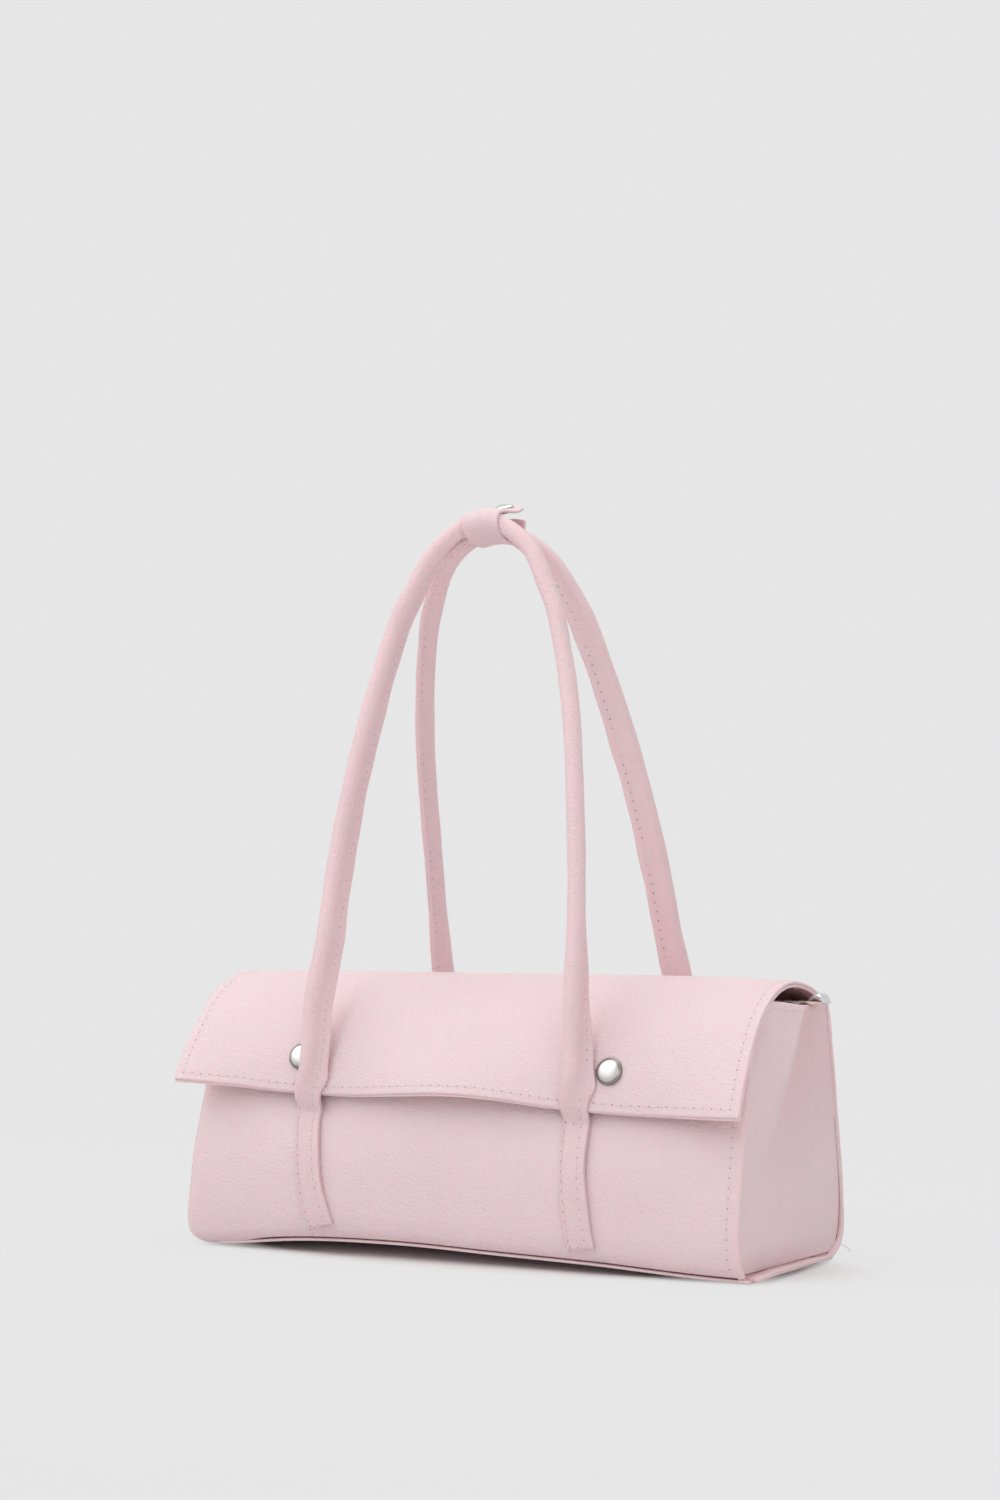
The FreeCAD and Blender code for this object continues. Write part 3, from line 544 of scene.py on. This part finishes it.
lining_cloth, cloth_shader, place = finish("lining_cloth", Roughness=0.8, Sheen_Weight=0.2)
weave = place.ribs("X", 620.0) + place.ribs("Z", 620.0)
mixed_colour = (weave * 0.3 + place.noise(90.0, 3.0) * 0.4).between((0.80, 0.30, 0.29, 1), (0.92, 0.42, 0.40, 1))
mixed_colour.into(cloth_shader, "Base Color")
weave.emboss(cloth_shader, 0.3, 0.0002)

LINING_GAP, LINING_FOOT, LINING, LINING_FLOOR = 2.4, 5.0, 0.7, 4.4
level, share = np.meshgrid(np.linspace(0, 1, 40) ** 1.2, np.linspace(0, 1, 61)[:-1], indexing="ij")
front_rim = front_wall((2 * share - 1) * 132.5, LINING_FOOT + level * 95.0) + (0, LINING_GAP, 0.6)
back_rim = back_wall((1 - 2 * share) * 137.0, LINING_FOOT + level * 106.0) - (0, LINING_GAP, 0)
right_rim = gusset_wall(0.03 + share * 0.94, 0.03 + level * 0.96, 1) - (LINING_GAP, 0, 0)
left_rim = gusset_wall(0.97 - share * 0.94, 0.03 + level * 0.96, -1) + (LINING_GAP, 0, 0)
sack = np.concatenate([front_rim, right_rim, back_rim, left_rim], axis=1)
shrink = np.linspace(1, 0.02, 14)[1:, None, None]
floor_rows = sack[0] * np.concatenate([shrink, shrink, 0 * shrink + 1], axis=-1)
floor_rows[..., 2] = foot_lift(floor_rows[..., 0], floor_rows[..., 1]) + LINING_FLOOR
sack = np.concatenate([floor_rows[::-1], sack])
index = round_index(*sack.shape[:2])
lining = new_piece("lining_sack", sack.reshape(-1, 3), grid_faces(index) + [index[0, :-1].tolist()])
fasten(lining, lining_cloth, "lining_fabric", "body", "lining")
cloth = lining.modifiers.new("cloth", "SOLIDIFY")
cloth.thickness = LINING * MM
cloth.offset = -1.0

# Zip: two woven tapes sewn inside the mouth, parted along the bag and joined on a loose tail that
# rides over the right end. Its coil teeth, slider and pull are as they come from a zip maker.

tape_cloth, tape_shader, place = finish("zip_tape_cloth", Roughness=0.75)
rib = place.ribs("X", 700.0)
fray = place.noise(160.0, 4.0)
mixed_colour = (rib * 0.35 + fray * 0.6).between((0.66, 0.48, 0.44, 1), (0.84, 0.68, 0.62, 1))
mixed_colour.into(tape_shader, "Base Color")
(rib + fray).emboss(tape_shader, 0.5, 0.0002)
coil, coil_shader, place = finish("zip_coil", Roughness=0.35)
place.noise(900.0).between((0.60, 0.50, 0.46, 1), (0.72, 0.62, 0.57, 1)).into(coil_shader, "Base Color")
ZIP_Y, TAIL_Z, ZIP_END = 16.0, 113.2, 147.0
TAPE, TAPE_WIDE, TAPE_START, TOOTH_PITCH, TOOTH_SHIFT = 0.7, 11.2, -126.0, 1.7, 0.42


def zip_line(x, mouth_y, mouth_z):
    """Teeth line of one tape: along the mouth's edge, then easing in and up to the joined tail."""
    y = mouth_y + (ZIP_Y - mouth_y) * ease((x - 60.0) / 52.0)
    return y, mouth_z + (TAIL_Z - mouth_z) * ease((x - 60.0) / 40.0)


for name, side, mouth_y, mouth_z in (("front", -1, -21.2, 100.0), ("rear", 1, 28.6, 110.0)):
    x, wide = np.meshgrid(np.linspace(TAPE_START, ZIP_END, 160), np.linspace(1.4, TAPE_WIDE, 14),
                          indexing="ij")
    line_y, line_z = zip_line(x, mouth_y, mouth_z)
    tail = ease((x - 112) / 24)
    crumple = tail * 0.7 * np.sin(x * 0.9 + wide * 0.55) * (wide / TAPE_WIDE)
    gathered = wide * (1 - 0.4 * tail)
    tape = np.stack([x, line_y + side * gathered, line_z + TAPE / 2 + crumple], axis=-1)[:, ::side]
    fasten(leather_sheet(name + "_zip_tape_cloth", tape, TAPE), tape_cloth, "zip_tape", "body",
           name + "_zip_tape")
    # A tooth is a short rounded bar of six sides across the teeth line; the two rows lie half a pitch apart.
    x = np.arange(TAPE_START + 1.0, 137.0, TOOTH_PITCH) + TOOTH_SHIFT * side
    foot = np.stack([x, *zip_line(x, mouth_y, mouth_z)], axis=-1)
    long, clock = np.meshgrid(np.linspace(0, 1, 5), hexagon(), indexing="ij")
    fat = 0.55 * np.sqrt(1.04 - (2 * long - 1) ** 2)
    tooth = np.stack([fat * np.cos(clock), -0.35 + 2.4 * long, 1.5 * fat * np.sin(clock)], axis=-1)
    points = foot[:, None] + tooth.reshape(-1, 3) * (1, side, 1)
    one = np.array(grid_faces(round_index(*long.shape)[:, ::side]))
    faces = (one + long.size * np.arange(len(x))[:, None, None]).reshape(-1, 4).tolist()
    fasten(new_piece(name + "_zip_coil", points.reshape(-1, 3), faces), coil, "zip_teeth", "body",
           name + "_zip_teeth")

# Bright metal: the zip's slider, pull and stop and the flap's snap sockets, studs and backs, cast or pressed
# and then plated and polished. Their solids have the real shape and are kept.


def plated_metal(name, colour, roughness):
    """Polished plating with faint cloudy wear in its gloss."""
    material, shader, place = finish(name, Metallic=1.0)
    wear = place.noise(380.0, 5.0)
    wear.between(shade(colour, 0.94), shade(colour, 1.04)).into(shader, "Base Color")
    (roughness + wear * 0.12).into(shader, "Roughness")
    return material


plating = plated_metal("bright_plating", (0.74, 0.73, 0.72), 0.10)
for name in ("zip_slider", "zip_pull", "zip_stop", "snap_sockets", "snap_studs", "snap_stud_backs"):
    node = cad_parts[name]
    node.data.materials.clear()
    node.data.materials.append(plating)

# End clip: a scrap of bright sheet metal, folded like a little roof and pinched over the zip's tail.
# The front edge of its inner slope is turned down.

CLIP, CLIP_WIDE = 0.7, 9.0
fold, wide = np.meshgrid(np.linspace(0, 1, 41), np.linspace(0, 1, 12), indexing="ij")
folds = (0, 0.44, 0.5, 0.56, 1)
clip_x = through(fold, folds, (140.6, 144.2, 144.8, 145.4, 147.6))
clip_z = through(fold, folds, (115.5, 117.2, 117.4, 117.1, 113.5))
lip = np.clip(1 - wide / 0.22, 0, 1) ** 2 * (1 - ease((fold - 0.5) / 0.3))
clip = np.stack([clip_x, ZIP_Y - 0.5 + CLIP_WIDE * wide, clip_z - 1.0 * lip - 0.3 * wide], axis=-1)
sheet_plating = plated_metal("sheet_plating", (0.74, 0.74, 0.75), 0.26)
fasten(leather_sheet("zip_end_clip_sheet", clip, CLIP), sheet_plating, "snap_metal", "body", "zip_end_clip")

# Handles: each is one long strip of leather rolled round a soft core and sewn shut along a fin, so
# its section is a teardrop. Both ends are left flat and are sewn down on the panel as tabs.

TAB_FOOT, TAB_TOP, TAB_HALF = 7.6, 64.5, 1.1
HANDLE_START, STANDOFF, HALF_SPREAD, ROLL_RADIUS = 99.9, 54.4, 64.0, 4.0


def handle_arch(rise, peak, left_bend, right_bend):
    """Centre line of the rolled part, left foot to right foot: a bend of 110 mm radius at each foot tips
    it 12.7 degrees to the bag's middle, long legs of 600 mm radius run into a round top, all leaning left.
    A leg's bend is an amount in x that fades out from a height over a span, and a share by which its top is
    squeezed to the middle; the top rises by a little and comes to a soft peak under the keeper."""
    bend_radius, tilt, leg_radius, leg_height = 110.0, np.radians(12.7), 600.0, 183.0
    lean, peak_half = np.tan(np.radians(2.0)), 12.0
    leg_turn = np.arcsin(leg_height / leg_radius)
    bend = np.linspace(0, tilt, 14)[:-1]
    leg = np.linspace(0, leg_turn, 60)[:-1]
    top = np.linspace(leg_turn, np.pi / 2, 70)
    top_radius = (HALF_SPREAD - leg_radius * (1 - np.cos(leg_turn))) / np.cos(leg_turn)
    inward = np.concatenate([leg_radius * (1 - np.cos(leg)), HALF_SPREAD - top_radius * np.cos(top)])
    up = np.concatenate([leg_radius * np.sin(leg),
                         leg_height + top_radius * (np.sin(top) - np.sin(leg_turn))])
    x = HALF_SPREAD - np.concatenate([0 * bend, inward])
    y = np.concatenate([bend_radius * (1 - np.cos(bend)),
                        bend_radius * (1 - np.cos(tilt)) + up * np.sin(tilt)])
    z = np.concatenate([bend_radius * np.sin(bend), bend_radius * np.sin(tilt) + up * np.cos(tilt)])
    half = np.stack([x, y - STANDOFF, z + HANDLE_START], axis=-1)
    arch = np.concatenate([half * (-1, 1, 1), half[-2::-1]])
    arch[:, 0] -= (arch[:, 2] - HANDLE_START) * lean
    middle = arch[len(half) - 1, 0]
    for one, (amount, start, span, squeeze) in ((slice(0, len(half)), left_bend),
                                                (slice(len(half), None), right_bend)):
        arch[one, 0] += amount * (1 - ease((arch[one, 2] - start) / span))
        arch[one, 0] += (middle - arch[one, 0]) * squeeze * ease((arch[one, 2] - 284.0) / 26.0)
    arch[:, 2] += (rise * ease((arch[:, 2] - 285.0) / 40.0)
                   + peak * np.exp(-((arch[:, 0] - middle) / peak_half) ** 2))
    return arch


def strap(height, stations, places, front):
    """Centre line of a tab and its root, as on the front: on the panel up to where it is sewn, then easing
    out to where the roll stands."""
    x = through(height, stations, places)
    wall = front_wall(x, height) if front else back_wall(x, height) * (1, -1, 1)
    stand = 0 * height - STANDOFF
    if front:
        stand = through(height, (58, 66, 72, 82, HANDLE_START), (-50.4, -51.9, -54.0, -54.8, -STANDOFF))
    away = ease((height - 60.0) / 9.0)[:, None]
    return (wall - (0, TAB_HALF, 0)) * (1 - away) + np.stack([x, stand, height], axis=-1) * away


def teardrop(flat, fin):
    """Section of the strip, from rolled (flat 0) to a flat tab (flat 1): a round back, hollow flanks and a
    two-layer fin with a groove in its cut edge; returns its offsets along and across the fin."""
    clock = np.radians(np.linspace(38, 322, 21))
    edge_f = np.array((9.0, 9.2, 8.85, 9.2, 9.0))
    edge_g = np.array((-0.85, -0.42, 0.0, 0.42, 0.85))
    flank_f = np.array((4.35, 5.4, 7.0, 8.6))
    flank_g = np.array((1.72, 1.28, 1.12, 1.08))
    rolled_f = np.concatenate([ROLL_RADIUS * np.cos(clock), flank_f, edge_f, flank_f[::-1]])
    rolled_g = np.concatenate([ROLL_RADIUS * np.sin(clock), -flank_g, edge_g, flank_g[::-1]])
    flat_back = np.sign(np.sin(clock)) * np.abs(np.sin(clock)) ** 0.45
    tab_flank = np.array((1.6, 2.8, 4.3, 5.8))
    tab_f = np.concatenate([-2.4 + 3.85 * np.cos(clock), tab_flank, edge_f - 2.95, tab_flank[::-1]])
    tab_g = TAB_HALF * np.concatenate([flat_back, 0 * tab_flank - 1, edge_g, 0 * tab_flank + 1])
    past = np.clip(rolled_f - ROLL_RADIUS, 0, None)
    rolled_f = rolled_f - past * (1 - fin[:, None])
    flat = flat[:, None]
    return rolled_f * (1 - flat) + tab_f * flat, rolled_g * (1 - flat) + tab_g * flat


def make_handle(name, front, left_tab, right_tab, bends, twists):
    """One handle with its tabs and its stitches: the teardrop turned by the twist along the whole line."""
    height = np.linspace(TAB_FOOT, HANDLE_START, 80)[:-1]
    left = strap(height, *left_tab, front)
    right = strap(height, *right_tab, front)
    path = np.concatenate([left, handle_arch(*bends), right[::-1]])
    reach = reach_along(path)
    flat = ease((86.0 - path[:, 2]) / 18.0)
    if not front:
        path = path * (1, -1, 1)
    way = unit(np.gradient(path, reach, axis=0))
    to_middle = np.array((0.0, 1.0 if front else -1.0, 0.0))
    inside = unit(to_middle - way * (way @ to_middle)[:, None])
    into_arch = np.cross(inside, way) * (1.0 if front else -1.0)
    climb = np.argmax(path[:, 2])
    top = reach[climb]
    tab_end, roll_start = np.interp((64.0, 110.0), path[:climb, 2], reach[:climb])
    stations = (0, tab_end, roll_start, top - 110, top - 13, top + 13, top + 110, 2 * top - roll_start,
                2 * top - tab_end, 2 * top)
    turn = np.radians(through(reach, stations, twists))[:, None]
    fin_way = np.cos(turn) * inside + np.sin(turn) * into_arch
    side_way = np.cross(way, fin_way)
    ear = 0.5 * front * np.exp(-((path[:, 2] - 77.5) / 4.5) ** 2)
    fin = 1 + ear - (0.75 if front else 0.3) * np.exp(-((reach - top) / 20.0) ** 4)
    uneven = (1 + 0.02 * np.sin(reach / 9.0 + front) + 0.015 * np.sin(reach / 4.1))[:, None]
    ring_f, ring_g = teardrop(flat, fin)
    cover = swept(name, path, ring_f * uneven, ring_g * uneven, fin_way, side_way)
    # The fin is sewn through from both faces, apart from a short stretch under the keeper.
    rows = []
    halves = reach < top, reach > top
    sewn = np.abs(reach - top) > 14
    row_f = (6.2 - 3.4 * flat)[:, None]
    row_g = (1.16 + (TAB_HALF - 1.14) * flat)[:, None]
    for face in (-1, 1):
        line = path + row_f * fin_way + face * row_g * side_way
        for half in halves:
            rows.append((line[sewn & half], face * side_way[sewn & half]))
    # Each tab has a row along its other edge and a short row across its foot and its top.
    outward = np.sign(side_way[:, 1:2]) * (-1 if front else 1) * side_way
    tab_line = path - 5.0 * fin_way + (TAB_HALF + 0.02) * outward
    for half in halves:
        tab = (path[:, 2] < TAB_TOP) & half
        rows.append((tab_line[tab], outward[tab]))
        spots = np.flatnonzero(tab)
        for spot in (spots[np.argmin(path[spots, 2])], spots[np.argmax(path[spots, 2])]):
            shift = way[spot] * (1.6 if path[spot, 2] < 30 else -0.5) * (1 if reach[spot] < top else -1)
            across = np.linspace(-4.6, 3.0, 8)[:, None] * fin_way[spot]
            line = path[spot] + shift + across + (TAB_HALF + 0.03) * outward[spot]
            rows.append((line, np.tile(outward[spot], (len(line), 1))))
    return cover, stitching(name + "_stitches", rows, 4.3, 0.26 if front else 0.36)


# A copy of the leather 5% darker for the handles and keeper: painted shade, standing in for the dimmer light
# up at the handles.
handle_leather = pebbled_leather("handle_leather", [0.95 * c for c in PINK])
for name, front, tabs, bends, twists in (
        ("front_handle", True,
         (((7.5, 24, 45.5, 61, 70, 84, HANDLE_START), (-64.0, -68.3, -70.6, -71.8, -70.9, -69.6, -68.5)),
          ((7.5, 26, 45, 60, 72, 86, HANDLE_START), (64.7, 62.4, 61.2, 61.3, 61.8, 61.7, 61.6))),
         (0.0, 3.3, (-4.5, 100.0, 46.0, 0.1), (-2.4, 185.0, 75.0, 0.09)),
         (90, 90, 55, 18, 9, 9, 28, -27, -90, -90)),
        ("rear_handle", False,
         (((7.5, 40, 61, 80, HANDLE_START), (-65, -65.4, -65.0, -62.0, -58.4)),
          ((7.5, 40, 61, 86, HANDLE_START), (65, 65.6, 66.0, 67.2, 67.8))),
         (-2.6, 2.0, (5.6, 165.0, 115.0, 0.06), (3.8, 100.0, 50.0, 0.07)),
         (-90, -90, -26, 2, 8, 22, 45, 62, 90, 90))):
    end = name.split("_")[0]
    cover, stitches = make_handle(name + "_leather", front, *tabs, bends, twists)
    fasten(cover, handle_leather, "leather", None, name + "_cover", name + "_core", end + "_left_tab",
           end + "_left_root", end + "_right_tab", end + "_right_root")
    for piece in (cover, stitches):
        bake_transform(piece)

# Keeper: a leather strap round both handles at their top, held by one snap that is undone here, so the
# tongue stands a little off and the lower end runs free behind.

KEEPER_X, KEEPER_HALF, KEEPER_CROWN = -6.5, 8.3, 0.016
run, wide = np.meshgrid(np.linspace(0, 1, 80), np.linspace(-KEEPER_HALF, KEEPER_HALF, 26), indexing="ij")
stations = (0, 0.07, 0.18, 0.29, 0.38, 0.47, 0.55, 0.67, 0.79, 0.88, 0.95, 1)
keeper_y = through(run, stations, (3.6, 1.0, -4.0, -9.3, -11.5, -10.8, -7.6, -0.5, 7.0, 12.4, 16.2, 17.6))
keeper_z = through(run, stations, (336.75, 336.5, 336.0, 334.2, 330.4, 326.4, 323.6, 321.6, 320.8, 322.6,
                                   327.6, 333.0))
band = np.stack([KEEPER_X + wide, keeper_y, keeper_z - KEEPER_CROWN * wide ** 2], axis=-1)
fasten(leather_sheet("keeper_band_leather", band, LEATHER), handle_leather, "leather", "front_handle",
       "keeper_band")

tongue_y, wide = np.meshgrid(np.linspace(3.7, 16.6, 40), np.linspace(1, -1, 26), indexing="ij")
wide = wide * KEEPER_HALF * np.sqrt(1 - np.clip((tongue_y - 14.0) / 2.9, 0, 1) ** 2 * 0.75)
tongue_z = through(tongue_y, (3.7, 8.2, 12.8, 16.6), (336.76, 337.3, 338.6, 340.1))
tongue = np.stack([KEEPER_X + wide, tongue_y, tongue_z - KEEPER_CROWN * wide ** 2], axis=-1)
tongue_piece = leather_sheet("keeper_tongue_leather", tongue, LEATHER)
fasten(tongue_piece, handle_leather, "leather", None, "keeper_tongue")
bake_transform(tongue_piece)

SPOKES = 48


def turned(name, radii, heights, seat, axis):
    """A turned shape: a profile of radius and height spun about an axis through its seat, ends closed."""
    axis = unit(np.asarray(axis, float))
    first = unit(np.cross(axis, (1.0, 0.2, 0.1)))
    clock = np.linspace(0, 2 * np.pi, SPOKES + 1)[:-1, None]
    rim = np.cos(clock) * first + np.sin(clock) * np.cross(axis, first)
    radii, heights = (np.asarray(values)[:, None, None] for values in (radii, heights))
    return closed_tube(name, np.asarray(seat) + radii * rim + heights * axis)


# A spot is the row and column of the tongue's or the band's grid that a snap is riveted through.
CAP_RADIUS, CAP_SPOT, STUD_SPOT = 4.4, (28, 13), (74, 13)
dome = np.radians(np.linspace(0, 84, 14))
cap_radii = np.concatenate([(3.0, CAP_RADIUS), CAP_RADIUS * np.cos(dome)])
cap_heights = np.concatenate([(0.0, 0.0), 0.3 + 1.3 * np.sin(dome)])
seat, normal = tongue[CAP_SPOT], grid_normals(tongue)[CAP_SPOT]
fasten(turned("keeper_cap_dome", cap_radii, cap_heights, seat, normal), plating, "snap_metal",
       "tongue", "keeper_cap")
socket = turned("keeper_socket_ring", (2.2, 3.4, 3.4, 2.7, 1.3), (0.0, 0.0, 0.8, 1.2, 0.9),
                seat - normal * LEATHER, -normal)
fasten(socket, plating, "snap_metal", "tongue", "keeper_socket")
seat, normal = band[STUD_SPOT], -grid_normals(band)[STUD_SPOT]
stud = turned("keeper_stud_knob", (2.0, 3.4, 3.4, 1.7, 1.5, 1.8, 1.2), (0.0, 0.0, 0.5, 0.7, 1.2, 1.6, 1.9),
              seat + normal * LEATHER, normal)
fasten(stud, plating, "snap_metal", "front_handle", "keeper_stud")

# Flap: two leathers glued and sewn together, sewn to the outside of the back panel. It arches over the
# mouth and hangs down the front, tucked behind the front handle's legs, which press it in.

FLAP_HALF, FLAP_LAYER, CREST = 138.5, 1.4, (2.6, 124.4)
STRIP, FOLD, BACK_RUN, FRONT_RUN, SHOULDER = 9.0, 9.5, 39.6, 86.0, 55.0
CREST_AT = STRIP + FOLD + BACK_RUN
FLAP_END = CREST_AT + FRONT_RUN


def flap_turn(x):
    """How far the flap's shoulder turns down, in degrees: most under the legs, less between them, least at
    its ends."""
    between = 18.0 * np.clip(1 - (np.abs(x) / 56.0) ** 2, 0, 1) ** 1.4
    left_end = 27.0 * ease((-x - 82.0) / 62.0)
    right_end = 18.0 * ease((x - 82.0) / 62.0)
    return 70.0 - between - left_end - right_end


def flap_surface(x, run):
    """Outer face of the flap: its heading by length is added up into a section, hung from the crest.
    Upright on the back panel, it folds over, rises to the crest, turns down the shoulder and ends in a
    skirt."""
    past = run - CREST_AT
    turn = np.radians(flap_turn(x))
    skirt = FRONT_RUN - SHOULDER * turn
    heading = np.radians(104.5 + 47.5 * np.clip((run - STRIP) / FOLD, 0, 1)
                         + 28.0 * np.clip((run - STRIP - FOLD) / BACK_RUN, 0, 1))
    heading = heading + np.clip(past / SHOULDER, 0, turn)
    heading = heading + np.radians(16.0) * np.clip((past - SHOULDER * turn) / skirt, 0, 1)
    step = np.diff(run, axis=0)
    dy = np.cos(heading)
    dz = np.sin(heading)
    y = np.concatenate([0 * dy[:1], np.cumsum((dy[1:] + dy[:-1]) / 2 * step, axis=0)])
    z = np.concatenate([0 * dz[:1], np.cumsum((dz[1:] + dz[:-1]) / 2 * step, axis=0)])
    peak = np.argmin(np.abs(run[:, 0] - CREST_AT))
    droop = 1.6 * ease((x - 100) / 45) + 0.6 * ease((-x - 100) / 45)
    return np.stack([x, y - y[peak] + CREST[0], z - z[peak] + CREST[1] - droop], axis=-1)


run, x = np.meshgrid(np.linspace(0, FLAP_END, 190), np.linspace(-FLAP_HALF, FLAP_HALF, 240), indexing="ij")
hanging = np.clip((run - FLAP_END + FRONT_RUN) / FRONT_RUN, 0, 1)
cut = through(x, (-138, -122, -108, -95, -54, -27, 28, 52, 80, 138),
              (-2.7, -3.6, -3.8, -2.9, -1.5, -2.0, -1.8, 0.2, 1.5, 1.5))
flap = flap_surface(x * (1 - 0.008 * hanging * (x < 0)), run + cut * hanging)
flap_normal = grid_normals(flap)
inner = flap - flap_normal * FLAP_LAYER
inner_under = inner - flap_normal * FLAP_LAYER
suede = pebbled_leather("flap_suede", (0.78, 0.45, 0.45))
for name, face, node in (("flap_outer_leather", flap[:-1], "flap_outer"),
                         ("flap_inner_leather", inner[2:], "flap_lining")):
    layer = fasten(leather_sheet(name, face, FLAP_LAYER), leather, "leather", None, node)
    if node == "flap_lining":
        layer.data.materials.append(suede)
        quads = (face.shape[0] - 1) * (face.shape[1] - 1)
        under = np.arange(len(layer.data.polygons)) // quads == 1
        layer.data.polygons.foreach_set("material_index", under.astype(int).tolist())
    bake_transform(layer)


def on_grid(grid, row, column):
    """Values of a grid at fractional rows and columns, straight between its points."""
    r = np.clip(np.floor(row).astype(int), 0, grid.shape[0] - 2)
    c = np.clip(np.floor(column).astype(int), 0, grid.shape[1] - 2)
    a = (row - r)[:, None]
    b = (column - c)[:, None]
    return ((grid[r, c] * (1 - a) + grid[r + 1, c] * a) * (1 - b)
            + (grid[r, c + 1] * (1 - a) + grid[r + 1, c + 1] * a) * b)


last_row, last_column = run.shape[0] - 1, run.shape[1] - 1
row_step = FLAP_END / last_row
column_step = 2 * FLAP_HALF / last_column
inset = 3.5
down = np.linspace(STRIP + FOLD + 3, FLAP_END - inset, 140) / row_step
level = np.linspace(inset, 2 * FLAP_HALF - inset, 260) / column_step
lines = [(down, 0 * down + inset / column_step), (down, 0 * down + last_column - inset / column_step),
         (0 * level + (FLAP_END - inset) / row_step, level), (0 * level + 3.0 / row_step, level)]
rows = []
for row, column in lines:
    rows.append((on_grid(flap, row, column), on_grid(flap_normal, row, column)))
    rows.append((on_grid(inner_under, row, column), -on_grid(flap_normal, row, column)))
# The last row would lie between the flap's strip and the back panel.
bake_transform(stitching("flap_stitches", rows[:-1], 4.3))

# Flap snaps: domed caps of pressed metal with a satin plating, riveted through the flap near its lower edge.
# The stepped flank round each dome has a dark plating as a painted reflection of the darker surroundings it
# mirrors.

satin = plated_metal("satin_plating", (0.62, 0.61, 0.59), 0.28)
# Painted reflection: the flank plating is dark to stand in for the darker surroundings that it mirrors.
flank = plated_metal("painted_dark_reflection", (0.30, 0.28, 0.26), 0.30)
SNAP_X = 77.0
dome = np.radians(np.linspace(0, 85, 14))
flank_radii = (3.0, 5.8, 6.0, 5.9, 5.6, 5.15)
cap_radii = np.concatenate([flank_radii, 4.75 * np.cos(dome)])
cap_heights = np.concatenate([(-0.6, -0.1, 0.3, 0.8, 1.25, 1.6), 1.75 + 0.75 * np.sin(dome)])
on_flank = np.append(np.tile(np.arange(len(cap_radii) - 1) < len(flank_radii), SPOKES), (True, False))
for name, side, up_edge in (("left", -1, 16.4), ("right", 1, 17.0)):
    spot = np.array([(FLAP_END - up_edge) / row_step])
    column = np.array([(FLAP_HALF + side * SNAP_X) / column_step])
    cap = turned(name + "_snap_cap_dome", cap_radii, cap_heights, on_grid(flap, spot, column)[0],
                 on_grid(flap_normal, spot, column)[0])
    fasten(cap, satin, "snap_metal", "flap")
    cap.data.materials.append(flank)
    cap.data.polygons.foreach_set("material_index", on_flank.astype(int).tolist())
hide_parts("snap_caps")

# Studio: a pale floor that fades into an even pale backdrop, a large soft key from the upper left, a fill
# from the right and a weak light overhead; the camera stands to the right, a little above the bag's middle.

PAPER, AMBIENT, FLOOR_HALF = 0.7913, 0.53, 4.0


def seen_directly(tree):
    """1 on rays from the camera, from a mirror or through glass, 0 on those that light the bag."""
    rays = Signal(tree).node("ShaderNodeLightPath").socket.node.outputs
    seen, mirrored, passed = (Signal(tree, rays["Is " + kind + " Ray"])
                              for kind in ("Camera", "Glossy", "Transmission"))
    return (seen + mirrored + passed).clipped()


floor_mesh = bpy.data.meshes.new("studio_floor")
floor_mesh.from_pydata([(x * FLOOR_HALF, y * FLOOR_HALF, 0) for x, y in ((-1, -1), (1, -1), (1, 1), (-1, 1))],
                       [], [(0, 1, 2, 3)])
add_object("studio_floor", floor_mesh)
paper, paper_shader, place = finish("studio_paper", Base_Color=(0.81, 0.81, 0.81, 1), Roughness=0.9,
                                    Specular_IOR_Level=0.1)
tree = paper.node_tree
oval = place.node("ShaderNodeVectorMath", {"operation": "MULTIPLY"}, {0: place, 1: (1.0, 2.6, 1.0)})
spread = place.node("ShaderNodeVectorMath", {"operation": "LENGTH"}, {0: oval}, 1)
fade = ((spread - 0.135) * 22.0).clipped() * 0.9 + (spread - 0.3).clipped() * 0.1
glow = place.node("ShaderNodeEmission", None, {"Color": (PAPER, PAPER, PAPER, 1), "Strength": 1.0})
lit_paper = Signal(tree, paper_shader.outputs[0])
mixed = place.node("ShaderNodeMixShader", None, {0: fade * seen_directly(tree), 1: lit_paper, 2: glow})
mixed.into(tree.nodes["Material Output"], "Surface")
floor_mesh.materials.append(paper)

world = bpy.data.worlds.new("studio")
bpy.context.scene.world = world
world.use_nodes = True
backdrop = world.node_tree.nodes["Background"]
backdrop.inputs["Color"].default_value = (1, 1, 1, 1)
(AMBIENT + (PAPER - AMBIENT) * seen_directly(world.node_tree)).into(backdrop, "Strength")


def aim(thing, place, toward):
    """Stand a light or the camera at a place, held level and facing along a direction."""
    side = unit(np.cross(toward, (0.0, 0.0, 1.0)))
    turn = np.stack([side, np.cross(side, toward), -toward], axis=1)
    thing.matrix_world = Matrix.Translation(place) @ Matrix(turn.tolist()).to_4x4()


bag_middle = np.array((0.0, 0.0, 0.1))
for name, place, size, power in (("key_light", (-1.0, -1.1, 1.7), 2.2, 23.6),
                                 ("fill_light", (1.6, -1.2, 0.5), 1.2, 6.2),
                                 ("top_light", (0.15, 0.25, 1.8), 1.5, 9.6)):
    lamp = bpy.data.lights.new(name, "AREA")
    lamp.size = size
    lamp.energy = power
    aim(add_object(name, lamp), place, unit(bag_middle - place))

EYE = (0.554757, -1.041185, 0.158503)
YAW, PITCH = 0.491102, 0.0567817
look = np.array((-np.sin(YAW) * np.cos(PITCH), np.cos(YAW) * np.cos(PITCH), np.sin(PITCH)))
camera = add_object("photo_camera", bpy.data.cameras.new("photo_camera"))
camera.data.lens = 62.4
camera.data.sensor_width = 36.0
camera.data.clip_start = 0.01
aim(camera, EYE, look)
bpy.context.scene.camera = camera
bpy.context.scene.view_settings.view_transform = "Standard"
